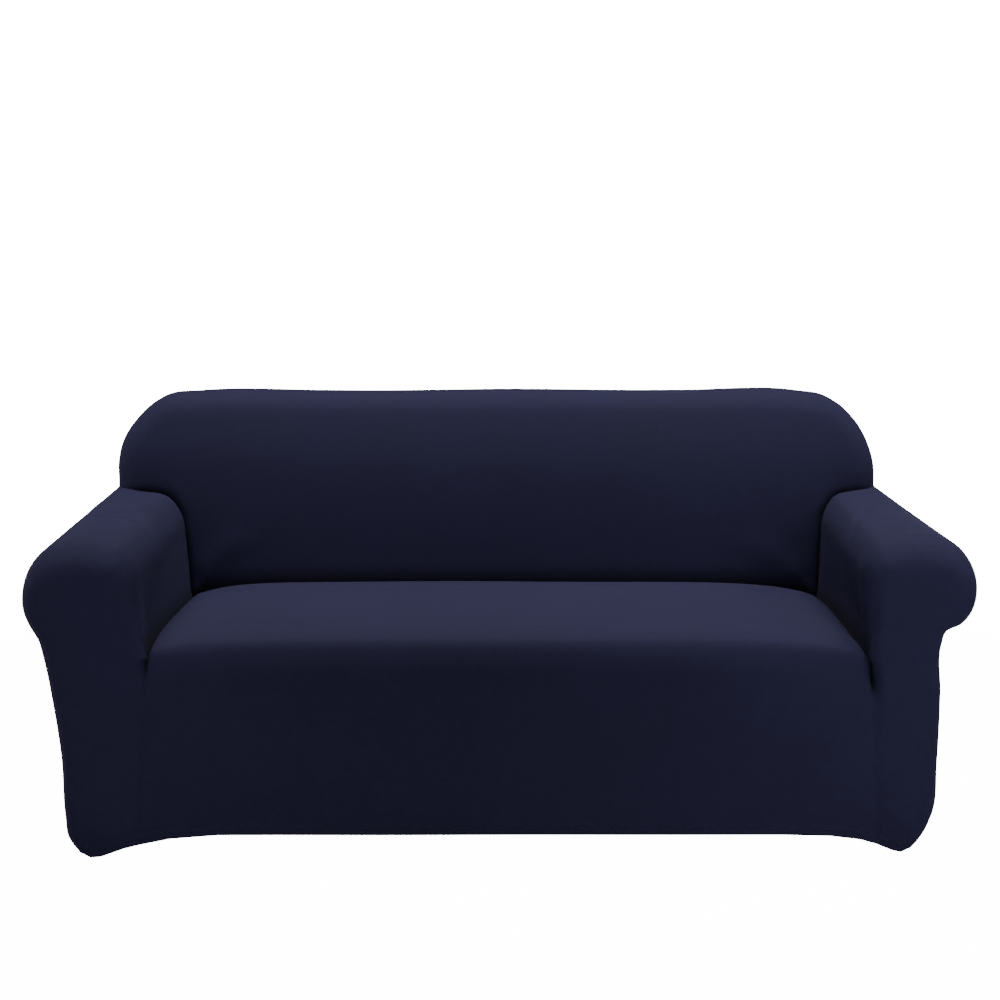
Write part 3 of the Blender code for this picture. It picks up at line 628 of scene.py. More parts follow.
# soft folds: how wide each is, how far it stands out or sinks in, and the points of its line
folds = {
    "leftArmRearFold": (
        (0.020, -0.0100),
        (-0.850, -0.085, 0.640), (-0.815, -0.105, 0.652), (-0.770, -0.115, 0.648), (-0.735, -0.120, 0.632),
        (-0.712, -0.125, 0.600),
    ),
    "leftArmRearRidge": (
        (0.045, 0.0090),
        (-0.735, -0.020, 0.634), (-0.780, 0.000, 0.652), (-0.840, 0.040, 0.647),
    ),
    "rightArmRearDip": (
        (0.014, -0.0045),
        (0.722, -0.170, 0.600), (0.738, -0.120, 0.626), (0.756, -0.080, 0.641), (0.775, -0.010, 0.648),
    ),
    "rightCreaseLip": (
        (0.009, 0.0060),
        (0.706, -0.418, 0.404), (0.714, -0.430, 0.376), (0.724, -0.434, 0.348), (0.738, -0.434, 0.334),
        (0.754, -0.434, 0.338),
    ),
    "rightRollTuck": (
        (0.020, -0.007),
        (0.872, -0.425, 0.450), (0.874, -0.300, 0.462), (0.868, -0.150, 0.492), (0.855, 0.050, 0.545),
    ),
    "leftRollTuck": (
        (0.030, -0.006),
        (-0.905, -0.390, 0.440), (-0.893, -0.250, 0.470), (-0.880, -0.100, 0.510),
    ),
    "seatRightPull": (
        (0.030, -0.0030),
        (0.672, 0.150, 0.425), (0.600, 0.060, 0.452), (0.500, -0.020, 0.460),
    ),
    "seatLeftPull": (
        (0.032, -0.0030),
        (-0.672, 0.150, 0.425), (-0.590, 0.070, 0.453), (-0.480, 0.000, 0.460),
    ),
    "backRightPull": (
        (0.030, 0.0035),
        (0.675, 0.190, 0.440), (0.610, 0.200, 0.500), (0.500, 0.205, 0.560),
    ),
    "backLeftPull": (
        (0.030, 0.0035),
        (-0.675, 0.190, 0.440), (-0.620, 0.200, 0.510), (-0.520, 0.205, 0.575),
    ),
    "rightFootPull": (
        (0.012, 0.0025),
        (0.826, -0.420, 0.045), (0.800, -0.432, 0.075), (0.755, -0.434, 0.120),
    ),
    "leftFootPull": (
        (0.012, 0.0025),
        (-0.848, -0.418, 0.042), (-0.815, -0.430, 0.070), (-0.765, -0.434, 0.110),
    ),
    "rightFootSide": (
        (0.014, 0.003),
        (0.838, -0.395, 0.050), (0.850, -0.340, 0.090), (0.860, -0.260, 0.150),
    ),
    "leftFootSide": (
        (0.014, 0.003),
        (-0.855, -0.395, 0.050), (-0.864, -0.340, 0.090), (-0.870, -0.260, 0.150),
    ),
    "rightArmInnerPull": (
        (0.035, -0.003),
        (0.722, -0.380, 0.440), (0.706, -0.250, 0.500), (0.700, -0.100, 0.560),
    ),
    "leftArmInnerPull": (
        (0.035, -0.003),
        (-0.703, -0.380, 0.440), (-0.700, -0.250, 0.490), (-0.698, -0.100, 0.550),
    ),
}
foldEnds = {"start": 0.25, "end": 0.45, "least": 0.12}  # shares of a fold's length over which it fades
foldLine = {"points": 24, "reach": 4.0}  # points of its smooth line, and how many widths away it ends
sag = {  # the slow unevenness of the whole cloth, as three long waves
    "height": 0.0010,
    "size": 3.2,
    "waves": (((2.1, 0.0, 1.3), 0.4), ((-1.1, 1.7, 0.0), 1.9), ((3.7, 0.9, -2.3), 0.0)),
    "thirdWave": 0.6,
}


def foldHeight(points):
    total = np.zeros(len(points))
    for (width, height), *line in folds.values():
        fine = smoothLine(np.array(line, float), np.linspace(0, len(line) - 1, foldLine["points"]))
        length = runOf(fine)
        furthest = length[-1] / 2 + foldLine["reach"] * width
        near = np.flatnonzero(np.linalg.norm(points - fine.mean(0), axis=1) < furthest)
        if not len(near):
            continue
        away, along = nearestOn(fine, points[near], length)
        along = along / length[-1]
        taper = ease(along / foldEnds["start"]) * ease((1 - along) / foldEnds["end"])
        total[near] += height * np.exp(-((away / width) ** 2)) * np.maximum(taper, foldEnds["least"])
    waves = [np.sin(points * sag["size"] @ np.array(way) + shift) for way, shift in sag["waves"]]
    return total + sag["height"] * (waves[0] * waves[1] + sag["thirdWave"] * waves[2])


tucks = {
    # the panels that meet, how deep the cloth is pushed in there and how widely on either side.
    # along an axis, 0 to 2 for x to z, the depth fades in between two places, from a least share.
    # the last pair says how far the shade painted into the cloth's colour along the crease reaches on either
    # side
    "seatToArm": {
        "between": (("seat_and_apron",), ("arm_right", "arm_left")), "fade": (1, -0.415, -0.300, 0.35),
        "depth": 0.020, "widths": (0.009, 0.012), "paintedShadeReach": (0.009, 0.034),
    },
    "seatToBack": {
        "between": (("seat_and_apron",), ("inside_back",)), "fade": (1, -1.0, -0.9, 1.0),
        "depth": 0.012, "widths": (0.012, 0.016), "paintedShadeReach": (0.009, 0.040),
    },
    "armToBack": {
        "between": (("arm_right", "arm_left"), ("inside_back",)), "fade": (0, 0.836, 0.790, 0.0),
        "depth": 0.006, "widths": (0.010, 0.010), "paintedShadeReach": (0.009, 0.009),
    },
    "rightHook": {
        "between": (("seat_and_apron",), ("arm_front_right",)), "fade": (2, 0.337, 0.362, 0.0),
        "depth": 0.014, "widths": (0.0060, 0.010), "paintedShadeReach": (0.005, 0.008),
    },
    "leftEnd": {
        "between": (("seat_and_apron",), ("arm_front_left",)), "fade": (2, 0.366, 0.400, 0.0),
        "depth": 0.008, "widths": (0.0060, 0.010), "paintedShadeReach": (0.005, 0.007),
    },
}
tuckCloth = {
    "smoothing": 0.012,  # metres along a crease over which the push is evened out
    "smoothingReach": 2.5,  # times as far, and nothing counts any more
    "nearest": 4,  # a point follows this many places on the creases, the closer ones more
    "softness": 1e-6,  # square metres, so that a place right beside a point doesn't count alone
    "rounds": 12,  # how often the push is evened out inside a panel
    "eveningShare": 0.7,
    "seamWidth": 0.010,  # how widely the push reaches along the seams beside a crease
    "plainWidth": 0.012,  # how widely it reaches on panels that only end beside it
    # the shade painted along a crease reaches this far on panels that only end beside it
    "plainPaintedShadeReach": 0.006,
    "paintedShadeDepth": 0.007,  # the painted crease shade is darkest from this depth on
    "reach": 0.10,  # nothing moves further away than this
    "quiet": 0.02,  # folds fade out this near to a sharp crease
    "sharpCrease": 0.95,  # the cosine of half the turn there
}


def treeOf(points):
    tree = KDTree(len(points))
    for n, point in enumerate(points):
        tree.insert(point, n)
    tree.balance()
    return tree


def evenOut(values, faces):
    # inside a panel each value moves towards the mean of its neighbours; the border keeps its own
    pairs = np.array(edgesOf(faces))
    pairs = np.unique(np.vstack([pairs, pairs[:, ::-1]]), axis=0)
    count = np.bincount(pairs[:, 0], minlength=len(values))[:, None]
    share = np.full((len(values), 1), tuckCloth["eveningShare"])
    share[[v for edge in borderOf(faces) for v in edge]] = 0.0
    for _ in range(tuckCloth["rounds"]):
        total = np.zeros_like(values)
        np.add.at(total, pairs[:, 0], values[pairs[:, 1]])
        values = values + share * (total / count - values)
    return values


def seamPoints(panels, names, joined):
    # where the borders of some panels run, with the cloth's direction there
    found = {}
    for name in names:
        for edge in borderOf(panels[name]["faces"]):
            for v in edge:
                found[tuple(np.round(panels[name]["points"][v], 5))] = joined[name][v]
    return found


def tuckPushes(panels, joined):
    # where the concave seams are, how far the cloth is pushed in there, how each panel takes it and how far
    # the shade painted along each crease reaches
    places, pushes, widths, paintedShadeReaches = [], [], [], []
    for tuck in tucks.values():
        first, second = (seamPoints(panels, names, joined) for names in tuck["between"])
        axis, low, high, least = tuck["fade"]
        for place in sorted(first.keys() & second.keys()):
            at = abs(place[0]) if axis == 0 else place[axis]
            share = least + (1 - least) * float(ease((at - low) / (high - low)))
            places.append(place)
            pushes.append(-tuck["depth"] * share * first[place])
            for found, values in ((widths, tuck["widths"]), (paintedShadeReaches, tuck["paintedShadeReach"])):
                found.append({n: value for names, value in zip(tuck["between"], values) for n in names})
    tree, rough, smooth = treeOf(places), np.array(pushes), []
    for place in places:
        near = tree.find_range(place, tuckCloth["smoothingReach"] * tuckCloth["smoothing"])
        weights = np.array([np.exp(-((away / tuckCloth["smoothing"]) ** 2)) for _, _, away in near])
        smooth.append((weights / weights.sum()) @ rough[[k for _, k, _ in near]])
    return tree, np.array(smooth), widths, paintedShadeReaches


def pushIntoCreases(panels, joined):
    # the cloth is tucked down between the cushions along the concave seams, and each panel gets a mask of
    # shade painted along them
    tree, pushes, widths, paintedShadeReaches = tuckPushes(panels, joined)
    for name, panel in panels.items():
        onBorder = {v for edge in borderOf(panel["faces"]) for v in edge}
        push = np.zeros_like(panel["points"])
        deep = np.zeros(len(push))
        for n, point in enumerate(panel["points"]):
            found = tree.find_n(point, tuckCloth["nearest"])
            gap = found[0][2]
            if gap > tuckCloth["reach"]:
                continue
            weights = np.array([1.0 / (away**2 + tuckCloth["softness"]) for _, _, away in found])
            weights /= weights.sum()
            near = [k for _, k, _ in found]
            width = weights @ np.array([widths[k].get(name, tuckCloth["plainWidth"]) for k in near])
            paintedShadeReach = weights @ np.array([paintedShadeReaches[k].get(name, tuckCloth["plainPaintedShadeReach"]) for k in near])
            whole = weights @ pushes[near]
            push[n] = np.exp(-((gap / (tuckCloth["seamWidth"] if n in onBorder else width)) ** 2)) * whole
            # painted shade: how much darker the cloth's colour is painted along the crease, where shade falls
            deep[n] = min(1.0, np.linalg.norm(whole) / tuckCloth["paintedShadeDepth"]) * np.exp(-((gap / paintedShadeReach) ** 3))
        panel["points"] = panel["points"] + evenOut(push, panel["faces"])
        panel["deep"] = deep


def weldedNormals(panels):
    # the directions that the cloth faces, evened over points that panels share
    points = np.vstack([p["points"] for p in panels])
    _, index = np.unique(np.round(points, 5), axis=0, return_inverse=True)
    index = index.reshape(-1)
    total = np.zeros((index.max() + 1, 3))
    start = 0
    for p in panels:
        faces = np.array(p["faces"])
        corners = p["points"][faces]
        turn = np.cross(corners[:, 2] - corners[:, 0], corners[:, 3] - corners[:, 1])
        for k in range(4):
            used = faces[:, 3] != faces[:, 2] if k == 3 else slice(None)
            np.add.at(total, index[start + faces[used, k]], turn[used])
        start += len(p["points"])
    total /= np.maximum(np.linalg.norm(total, axis=1), 1e-12)[:, None]
    return np.split(total[index], np.cumsum([len(p["points"]) for p in panels])[:-1])


def trimmed(face):
    # a triangle is kept as a face whose last two corners are the same, and is trimmed to three here
    return tuple(int(n) for n in (face if face[2] != face[3] else face[:3]))


def edgesOf(faces):
    return [(f[i], f[(i + 1) % 4]) for f in faces for i in range(4) if f[i] != f[(i + 1) % 4]]


def borderOf(faces):
    edges = edgesOf(faces)
    known = set(edges)
    return [e for e in edges if (e[1], e[0]) not in known]


def runAlong(edges, points):
    # border vertices in order, each with its distance along the border
    following = dict(edges)
    order, distance = [], []
    seen = set()
    travelled = 0.0
    for first in following:
        at = first
        while at not in seen:
            seen.add(at)
            order.append(at)
            distance.append(travelled)
            if at not in following:
                break
            travelled += float(np.linalg.norm(points[following[at]] - points[at]))
            at = following[at]
    return order, distance


def nearestBorder(edges, points):
    # how far each point is from a border, and where along it
    order, distance = runAlong(edges, points)
    gap = np.full(len(points), seamLook["furthest"])
    run = np.zeros(len(points))
    if order:
        tree = treeOf(points[order])
        for n, point in enumerate(points):
            _, found, away = tree.find(point)
            gap[n] = min(away, seamLook["furthest"])
            run[n] = distance[found]
    return gap, run


seamLook = {
    "depth": 0.00014,
    "width": 0.0036,
    "allowance": 0.008,  # the sewn edge that is turned in
    "underlap": 0.0004,
    "furthest": 0.2,  # no distance from a seam counts as larger than this
}


def addObject(name, data):
    made = bpy.data.objects.new(name, data)
    bpy.context.scene.collection.objects.link(made)
    return made


def inwardOf(edges, points, normals):
    # at each border point, the way along the cloth into its panel
    inward = np.zeros_like(points)
    for a, b in edges:
        side = np.cross(normals[a] + normals[b], points[b] - points[a])
        side /= max(np.linalg.norm(side), 1e-12)
        inward[a] += side
        inward[b] += side
    return inward / np.maximum(np.linalg.norm(inward, axis=1), 1e-12)[:, None]


def turnEdgesIn(shaped, edges, onHem, inward, normals):
    # every edge is turned in, in two steps: sewn ones straight in, and the hem up behind itself
    rim = sorted({v for e in edges for v in e})
    vertices, turned = list(shaped), {}
    for level, deep in ((0, 0.5), (1, 1.0)):
        for v in rim:
            if v in onHem:
                move = inward[v] * hem["turnIn"] * level - normals[v] * hem["turnDepth"]
            else:
                move = -(normals[v] * seamLook["allowance"] + inward[v] * seamLook["underlap"]) * deep
            turned[v, level] = len(vertices)
            vertices.append(shaped[v] + move)
    faces = []
    for a, b in edges:
        faces.append((b, a, turned[a, 0], turned[b, 0]))
        faces.append((turned[b, 0], turned[a, 0], turned[a, 1], turned[b, 1]))
    return vertices, faces, rim


def buildMesh(name, vertices, faces, uv, facts, crispEdges):
    mesh = bpy.data.meshes.new(name)
    mesh.from_pydata([tuple(v) for v in vertices], [], [trimmed(f) for f in faces])
    mesh.update()
    layer = mesh.uv_layers.new(name="knit")
    corners = np.empty(len(mesh.loops), int)
    mesh.loops.foreach_get("vertex_index", corners)
    layer.data.foreach_set("uv", uv[corners].astype(np.float32).ravel())
    for fact, values in facts.items():
        field = mesh.attributes.new(fact, "FLOAT", "POINT")
        field.data.foreach_set("value", values.astype(np.float32))
    mesh.shade_smooth()
    known = {tuple(sorted(e)) for e in crispEdges}
    crisp = [tuple(sorted(e.vertices)) in known for e in mesh.edges]
    mesh.attributes.new("sharp_edge", "BOOLEAN", "EDGE").data.foreach_set("value", crisp)
    return mesh


def makePanelObject(name, panel, normals, material):
    points, faces = panel["points"], panel["faces"]
    edges = borderOf(faces)
    hemEdges = [e for e in edges if e[0] in panel["hem"] and e[1] in panel["hem"]]
    seamEdges = [e for e in edges if e not in set(hemEdges)]
    onHem = {v for e in hemEdges for v in e} - {v for e in seamEdges for v in e}
    inward = inwardOf(edges, points, normals)

    # the cloth sinks a little along its seams and stands out where the hem is doubled
    seamGap, seamRun = nearestBorder(seamEdges, points)
    hemGap, hemRun = nearestBorder(hemEdges, points)
    sink = -seamLook["depth"] * np.exp(-((seamGap / seamLook["width"]) ** 2)) * panel["openness"]
    foldEnd = ease((hemGap - hem["foldDepth"] + hem["foldRound"] / 2) / hem["foldRound"])
    stand = hem["foldStep"] * (1 - foldEnd) * ease(hemGap / hem["edgeRound"])
    shaped = points + (sink + stand)[:, None] * normals
    vertices, turnedFaces, rim = turnEdgesIn(shaped, edges, onHem, inward, normals)

    # what the material reads, the painted crease shade among it; the turned-in cloth takes over its edge's
    # values
    names = ("seamGap", "seamRun", "hemGap", "hemRun", "paintedCreaseShade")
    facts = dict(zip(names, (seamGap, seamRun, hemGap, hemRun, panel["deep"])))
    facts = {fact: np.concatenate([values, values[rim], values[rim]]) for fact, values in facts.items()}
    facts["seamGap"][len(points) :] = 0.0
    uv = np.vstack([panel["uv"], panel["uv"][rim], panel["uv"][rim]])
    mesh = buildMesh(name, vertices, [*faces, *turnedFaces], uv, facts, seamEdges)
    mesh.materials.append(material)
    piece = addObject(name, mesh)
    shell = piece.modifiers.new("cloth", "SOLIDIFY")
    shell.thickness = cover["clothThickness"]
    shell.offset = -1.0
    shell.use_rim = True
    return piece, [(shaped[v], inward[v]) for v in runAlong(hemEdges, points)[0]]


def setInputs(tree, node, inputs):
    # an input takes a value of its own or the socket that feeds it
    for key, value in inputs.items():
        if isinstance(value, bpy.types.NodeSocket):
            tree.links.new(value, node.inputs[key])
        else:
            node.inputs[key].default_value = value


def addNode(tree, kind, inputs=(), **settings):
    node = tree.nodes.new(kind)
    for key, value in settings.items():
        setattr(node, key, value)
    setInputs(tree, node, dict(inputs))
    return node


def outputOf(tree, kind, output, inputs=(), **settings):
    return addNode(tree, kind, inputs, **settings).outputs[output]


def mathNode(tree, operation, *inputs):
    return outputOf(tree, "ShaderNodeMath", 0, enumerate(inputs), operation=operation)


def mixColour(tree, factor, first, second, **settings):
    ends = [end if isinstance(end, bpy.types.NodeSocket) else (*end, 1.0) for end in (first, second)]
    inputs = {"Factor": factor, "A": ends[0], "B": ends[1]}
    return outputOf(tree, "ShaderNodeMix", "Result", inputs, data_type="RGBA", **settings)


def newMaterial(name):
    material = bpy.data.materials.new(name)
    material.use_nodes = True
    return material, material.node_tree, material.node_tree.nodes["Principled BSDF"]


def newGroup(name, kind, inputs, output, outputKind="NodeSocketFloat"):
    # an input is stated by its kind, or by its value where it is a plain number
    tree = bpy.data.node_groups.new(name, kind)
    for label, value in inputs.items():
        isNumber = isinstance(value, float)
        socketKind = "NodeSocketFloat" if isNumber else value
        socket = tree.interface.new_socket(label, in_out="INPUT", socket_type=socketKind)
        if isNumber:
            socket.default_value = value
    tree.interface.new_socket(output, in_out="OUTPUT", socket_type=outputKind)
    start, end = addNode(tree, "NodeGroupInput"), addNode(tree, "NodeGroupOutput")
    return tree, start.outputs, end.inputs[output]


ribKnit = {"slant": 0.5, "ribShare": 0.7, "loopShare": 0.3}


def knitGroup():
    # fine jersey: upright ribs of small slanted loops
    inputs = {"Vector": "NodeSocketVector", "Rib Pitch": 0.0016, "Course Pitch": 0.0012}
    group, start, end = newGroup("fineJersey", "ShaderNodeTree", inputs, "Height")
    split = addNode(group, "ShaderNodeSeparateXYZ", {0: start["Vector"]}).outputs
    rib = mathNode(group, "DIVIDE", split[0], start["Rib Pitch"])
    course = mathNode(group, "DIVIDE", split[1], start["Course Pitch"])
    ribWave = mathNode(group, "ABSOLUTE", mathNode(group, "SINE", mathNode(group, "MULTIPLY", rib, np.pi)))
    slant = mathNode(group, "ADD", course, mathNode(group, "MULTIPLY", ribWave, ribKnit["slant"]))
    loopWave = mathNode(group, "SINE", mathNode(group, "MULTIPLY", slant, 2 * np.pi))
    shares = ((ribWave, ribKnit["ribShare"]), (loopWave, ribKnit["loopShare"]))
    parts = [mathNode(group, "MULTIPLY", wave, share) for wave, share in shares]
    group.links.new(mathNode(group, "ADD", *parts), end)
    return group


def puckerGroup():
    # small gathers that fade away from a sewn line
    inputs = {"Run": 0.0, "Gap": 1.0, "Spacing": 0.013, "Reach": 0.012}
    group, start, end = newGroup("seamPuckers", "ShaderNodeTree", inputs, "Height")
    along = mathNode(group, "DIVIDE", start["Run"], start["Spacing"])
    inputs = {"W": along, "Scale": 1.0, "Detail": 1.0}
    noise = outputOf(group, "ShaderNodeTexNoise", "Fac", inputs, noise_dimensions="1D")
    away = mathNode(group, "DIVIDE", start["Gap"], start["Reach"])
    fade = mathNode(group, "EXPONENT", mathNode(group, "MULTIPLY", away, -1.0))
    group.links.new(mathNode(group, "MULTIPLY", mathNode(group, "SUBTRACT", noise, 0.5), fade), end)
    return group


jersey = {
    "deep": (0.0170, 0.0158, 0.0490),
    "light": (0.0260, 0.0242, 0.0720),
    "worn": (0.0400, 0.0380, 0.0980),
    "toneSize": 5.5,
    "toneDetail": 3.0,
    "toneShare": 0.75,
    "knitShare": 0.28,
    "lintSize": 260.0,
    "lintDetail": 2.0,
    "lint": {"From Min": 0.62, "From Max": 0.85, "To Max": 0.35},
    # painted shade: the colour that is multiplied into the cloth along the creases
    "creaseShade": 0.12,
    "roughness": (0.80, 0.92),
    "finish": {"Sheen Weight": 0.04, "Sheen Roughness": 0.42, "Specular IOR Level": 0.25},
    "sheenTint": (0.44, 0.42, 0.85),
    "puckers": {"seam": (0.014, 0.010), "hem": (0.017, 0.020)},  # their spacing and their reach
    "puckerBump": {"Strength": 0.6, "Distance": 0.0016},
    "knitBump": {"Strength": 0.5, "Distance": 0.00030},
}
thread = {"dark": (0.016, 0.017, 0.045), "light": (0.045, 0.048, 0.105), "twistSize": 900.0, "roughness": 0.5}


def makeJersey(name, knit, puckers):
    material, tree, shader = newMaterial(name)
    place = outputOf(tree, "ShaderNodeTexCoord", "Object")
    ribs = outputOf(tree, "ShaderNodeUVMap", "UV", uv_map="knit")
    grain = outputOf(tree, "ShaderNodeGroup", "Height", {"Vector": ribs}, node_tree=knit)
    inputs = {"Vector": place, "Scale": jersey["toneSize"], "Detail": jersey["toneDetail"]}
    tone = outputOf(tree, "ShaderNodeTexNoise", "Fac", inputs)
    inputs = {"Vector": place, "Scale": jersey["lintSize"], "Detail": jersey["lintDetail"]}
    lint = outputOf(tree, "ShaderNodeTexNoise", "Fac", inputs)

    shares = ((tone, jersey["toneShare"]), (grain, jersey["knitShare"]))
    mixed = mathNode(tree, "ADD", *[mathNode(tree, "MULTIPLY", value, share) for value, share in shares])
    base = mixColour(tree, mixed, jersey["deep"], jersey["light"])
    specks = outputOf(tree, "ShaderNodeMapRange", "Result", {"Value": lint, **jersey["lint"]})
    fuzzy = mixColour(tree, specks, base, jersey["worn"])
    # painted shade: the cloth's colour is multiplied darker along the creases, by the mask that
    # pushIntoCreases made
    paintedCreaseShade = outputOf(tree, "ShaderNodeAttribute", "Fac", attribute_name="paintedCreaseShade")
    colour = mixColour(tree, paintedCreaseShade, fuzzy, [jersey["creaseShade"]] * 3, blend_type="MULTIPLY")
    inputs = {"Value": tone, **dict(zip(("To Min", "To Max"), jersey["roughness"]))}
    rough = outputOf(tree, "ShaderNodeMapRange", "Result", inputs)

    gathers = []
    for line, (spacing, reach) in jersey["puckers"].items():
        inputs = {"Spacing": spacing, "Reach": reach}
        for measure in ("Run", "Gap"):
            inputs[measure] = outputOf(tree, "ShaderNodeAttribute", "Fac", attribute_name=line + measure)
        gathers.append(outputOf(tree, "ShaderNodeGroup", "Height", inputs, node_tree=puckers))
    inputs = {"Height": mathNode(tree, "ADD", *gathers), **jersey["puckerBump"]}
    gathered = outputOf(tree, "ShaderNodeBump", "Normal", inputs)
    inputs = {"Height": grain, "Normal": gathered, **jersey["knitBump"]}
    knitted = outputOf(tree, "ShaderNodeBump", "Normal", inputs)
    setInputs(tree, shader, {"Base Color": colour, "Roughness": rough, "Normal": knitted})
    setInputs(tree, shader, {**jersey["finish"], "Sheen Tint": (*jersey["sheenTint"], 1.0)})
    return material


def makeThread():
    material, tree, shader = newMaterial("navyThread")
    place = outputOf(tree, "ShaderNodeTexCoord", "Object")
    twist = outputOf(tree, "ShaderNodeTexNoise", "Fac", {"Vector": place, "Scale": thread["twistSize"]})
    colour = mixColour(tree, twist, thread["dark"], thread["light"])
    setInputs(tree, shader, {"Base Color": colour, "Roughness": thread["roughness"]})
    return material


# the panels are cut, tucked in, folded and sewn
seat = makeSeat()
arms = {1: makeArm(1), -1: makeArm(-1)}
insideBack = makeInsideBack(seat, arms)
panels = {
    "seat_and_apron": seat,
    "inside_back": insideBack,
    "outside_back": makeOutsideBack(insideBack, arms),
    "arm_right": arms[1],
    "arm_left": arms[-1],
    "arm_front_right": makeArmFront(1, arms[1]),
    "arm_front_left": makeArmFront(-1, arms[-1]),
}
print("cut the panels:", {name: len(p["faces"]) for name, p in panels.items()})

shapes = list(panels.values())
joined, alone = weldedNormals(shapes), [weldedNormals([panel])[0] for panel in shapes]
pushIntoCreases(panels, dict(zip(panels, joined)))
sharp = [p["points"][(a * b).sum(1) < tuckCloth["sharpCrease"]] for p, a, b in zip(shapes, joined, alone)]
creaseTree = treeOf(np.vstack(sharp))
for panel, normals in zip(shapes, joined):
    gap = np.array([creaseTree.find(point)[2] for point in panel["points"]])
    panel["openness"] = ease(gap / tuckCloth["quiet"])  # nothing is pushed about right in a crease
    height = foldHeight(panel["points"]) * panel["openness"]
    panel["points"] = panel["points"] + height[:, None] * normals
print("laid the folds")

navyJersey = makeJersey("navyJersey", knitGroup(), puckerGroup())
pieces, hemLines = {}, {}
for (name, panel), normals in zip(panels.items(), weldedNormals(shapes)):
    pieces[name], hemLines[name] = makePanelObject(name + "_cloth", panel, normals, navyJersey)
print("sewed", len(pieces), "panels")


def stitchTree(material):
    # one slim stitch of thread at every spacing along the guide lines
    inputs = {"Geometry": "NodeSocketGeometry", "Spacing": 0.0, "Length": 0.0, "Radius": 0.0}
    tree, start, end = newGroup("hemStitching", "GeometryNodeTree", inputs, "Geometry", "NodeSocketGeometry")
    curve = outputOf(tree, "GeometryNodeMeshToCurve", "Curve", {"Mesh": start["Geometry"]})
    inputs = {"Curve": curve, "Length": start["Spacing"]}
    places = outputOf(tree, "GeometryNodeResampleCurve", "Curve", inputs, mode="LENGTH")
    bead = outputOf(tree, "GeometryNodeMeshUVSphere", "Mesh", {"Segments": 6, "Rings": 4, "Radius": 1.0})
    half = mathNode(tree, "MULTIPLY", start["Length"], 0.5)
    inputs = {"X": start["Radius"], "Y": start["Radius"], "Z": half}
    size = outputOf(tree, "ShaderNodeCombineXYZ", "Vector", inputs)
    way = outputOf(tree, "GeometryNodeInputTangent", 0)
    turn = outputOf(tree, "FunctionNodeAlignRotationToVector", "Rotation", {"Vector": way}, axis="Z")
    inputs = {"Points": places, "Instance": bead, "Rotation": turn, "Scale": size}
    put = outputOf(tree, "GeometryNodeInstanceOnPoints", "Instances", inputs)
    real = outputOf(tree, "GeometryNodeRealizeInstances", "Geometry", {"Geometry": put})
    inputs = {"Geometry": real, "Material": material}
    tree.links.new(outputOf(tree, "GeometryNodeSetMaterial", "Geometry", inputs), end)
    return tree


def bakeGeometry(piece, name):
    graph = bpy.context.evaluated_depsgraph_get()
    graph.update()
    evaluated = piece.evaluated_get(graph)
    mesh = bpy.data.meshes.new_from_object(evaluated, preserve_all_data_layers=True, depsgraph=graph)
    bpy.data.objects.remove(piece)
    return addObject(name, mesh)


def stitchHems(material):
    # two guide lines on the hem of each panel, laid onto the cloth
    lines = bmesh.new()
    firstRow = hem["foldDepth"] - hem["firstRow"]
    for name, border in hemLines.items():
        panel = panels[name]
        tree = BVHTree.FromPolygons([tuple(p) for p in panel["points"]], [trimmed(f) for f in panel["faces"]])
        for depth in (firstRow, firstRow - hem["rowGap"]):
            previous = None
            for place, inwards in border:
                point, normal, _, _ = tree.find_nearest(Vector(place + inwards * depth))
                vertex = lines.verts.new(point + normal * (hem["foldStep"] + hem["stitchLift"]))
                if previous is not None and (vertex.co - previous.co).length < hem["longestStep"]:
                    lines.edges.new((previous, vertex))
                previous = vertex
    mesh = bpy.data.meshes.new("hemLines")
    lines.to_mesh(mesh)
    lines.free()
    guide = addObject("hemLines", mesh)
    nodes = guide.modifiers.new("stitches", "NODES")
    nodes.node_group = stitchTree(material)
    for item in nodes.node_group.interface.items_tree:
        if item.in_out == "INPUT" and item.name in ("Spacing", "Length", "Radius"):
            nodes[item.identifier] = hem["stitch" + item.name]
    return bakeGeometry(guide, "hem_stitches")


hemStitches = stitchHems(makeThread())
hemStitches.data.shade_smooth()
print("stitched the hem:", len(hemStitches.data.polygons), "faces")


# each panel rides on the root, and the solid of the same name is hidden
for name, piece in pieces.items():
    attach(piece, "root")
    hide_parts(name)
    panel = panels[name]
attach(hemStitches, "root")


# the floor and the sky are a plain white studio
stageLook = {
    "floorReach": 30,
    "floorColour": (0.80, 0.80, 0.80),
    "floorGlow": (15.0, 20.0),  # near the cover, and far behind it
    "glowReach": (1.6, 5.0),
    "floorBounce": 0.55,
    "skyColour": (1.0, 1.0, 1.0),
    "skyLight": 0.01,
    "skySeen": 20.0,
}


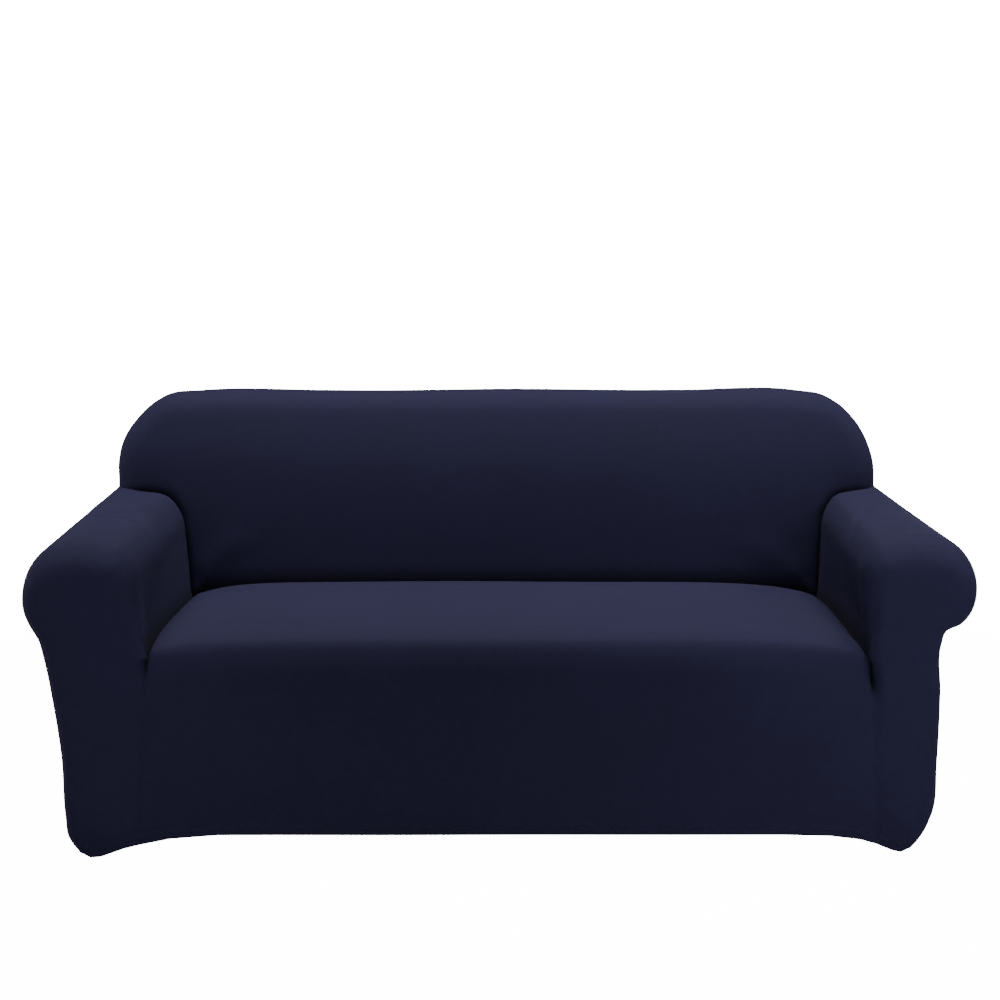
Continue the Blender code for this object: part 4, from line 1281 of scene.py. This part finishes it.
def makeFloor():
    reach = stageLook["floorReach"]
    corners = [(-reach, -reach, 0), (reach, -reach, 0), (reach, reach, 0), (-reach, reach, 0)]
    mesh = bpy.data.meshes.new("floor")
    mesh.from_pydata(corners, [], [(0, 1, 2, 3)])
    floor = addObject("floor", mesh)
    material, tree, _ = newMaterial("paleFloor")
    tree.nodes.clear()
    place = outputOf(tree, "ShaderNodeTexCoord", "Object")
    distance = outputOf(tree, "ShaderNodeVectorMath", "Value", {0: place}, operation="LENGTH")
    limits = (*stageLook["glowReach"], *stageLook["floorGlow"])
    inputs = {"Value": distance, **dict(zip(("From Min", "From Max", "To Min", "To Max"), limits))}
    strength = outputOf(tree, "ShaderNodeMapRange", "Result", inputs, interpolation_type="SMOOTHSTEP")
    glow = outputOf(tree, "ShaderNodeEmission", 0, {"Strength": strength})
    pale = outputOf(tree, "ShaderNodeBsdfDiffuse", 0, {"Color": (*stageLook["floorColour"], 1.0)})
    bounce = outputOf(tree, "ShaderNodeBsdfDiffuse", 0, {"Color": (*[stageLook["floorBounce"]] * 3, 1.0)})
    lit = outputOf(tree, "ShaderNodeAddShader", 0, {0: pale, 1: glow})
    seen = outputOf(tree, "ShaderNodeLightPath", "Is Camera Ray")
    chosen = outputOf(tree, "ShaderNodeMixShader", 0, {"Fac": seen, 1: bounce, 2: lit})
    addNode(tree, "ShaderNodeOutputMaterial", {"Surface": chosen})
    mesh.materials.append(material)


def makeSky():
    world = bpy.data.worlds.new("studio")
    bpy.context.scene.world = world
    world.use_nodes = True
    tree = world.node_tree
    seen = outputOf(tree, "ShaderNodeLightPath", "Is Camera Ray")
    inputs = {"Value": seen, "To Min": stageLook["skyLight"], "To Max": stageLook["skySeen"]}
    strength = outputOf(tree, "ShaderNodeMapRange", "Result", inputs)
    inputs = {"Color": (*stageLook["skyColour"], 1.0), "Strength": strength}
    setInputs(tree, tree.nodes["Background"], inputs)


lamps = {
    "overhead": {
        "at": (0.0, 0.1, 3.0), "to": (0.0, 0.1, 0.4), "size": (4.0, 1.3), "spread": 80, "power": 29.5,
        "colour": (1.0, 0.98, 0.98),
    },
    "rightHigh": {
        "at": (2.4, -0.9, 1.9), "to": (0.8, -0.2, 0.5), "size": (0.9, 0.9), "spread": 90, "power": 2.5,
        "colour": (0.97, 0.98, 1.0),
    },
    "nearRight": {
        "at": (0.95, -1.6, 0.75), "to": (0.85, -0.4, 0.5), "size": (0.6, 0.8), "spread": 120, "power": 3.2,
        "colour": (0.95, 0.97, 1.0),
    },
    "rear": {
        "at": (0.4, 3.4, 0.45), "to": (0.0, 0.4, 0.42), "size": (2.6, 0.6), "spread": 120, "power": 15.0,
        "colour": (0.97, 0.98, 1.0),
    },
    "leftLow": {
        "at": (-3.0, 0.5, 0.45), "to": (-0.90, 0.1, 0.42), "size": (1.2, 0.6), "spread": 90, "power": 2.5,
        "colour": (1.0, 0.97, 0.98),
    },
    "nearLeft": {
        "at": (-1.0, -1.6, 0.75), "to": (-0.85, -0.4, 0.5), "size": (0.6, 0.8), "spread": 120, "power": 2.2,
        "colour": (1.0, 0.95, 0.97),
    },
}


def makeLamps():
    for name, lamp in lamps.items():
        data = bpy.data.lights.new(name, "AREA")
        data.shape = "RECTANGLE"
        data.size, data.size_y = lamp["size"]
        data.energy = lamp["power"]
        data.color = lamp["colour"]
        data.spread = np.radians(lamp["spread"])
        light = addObject(name, data)
        light.location = lamp["at"]
        light.visible_camera = False
        light.rotation_euler = (Vector(lamp["to"]) - light.location).to_track_quat("-Z", "Y").to_euler()


viewer = {"at": (0.0, -5.046, 1.369), "tiltDown": 8.0, "lens": 86.4, "sensor": 36.0, "furthest": 200.0}


def makeCamera():
    data = bpy.data.cameras.new("viewer")
    data.sensor_width = viewer["sensor"]
    data.lens = viewer["lens"]
    data.clip_end = viewer["furthest"]
    camera = addObject("viewer", data)
    camera.location = viewer["at"]
    camera.rotation_euler = (np.radians(90.0 - viewer["tiltDown"]), 0.0, 0.0)
    bpy.context.scene.camera = camera


makeFloor()
makeSky()
makeLamps()
makeCamera()
print("set the stage")
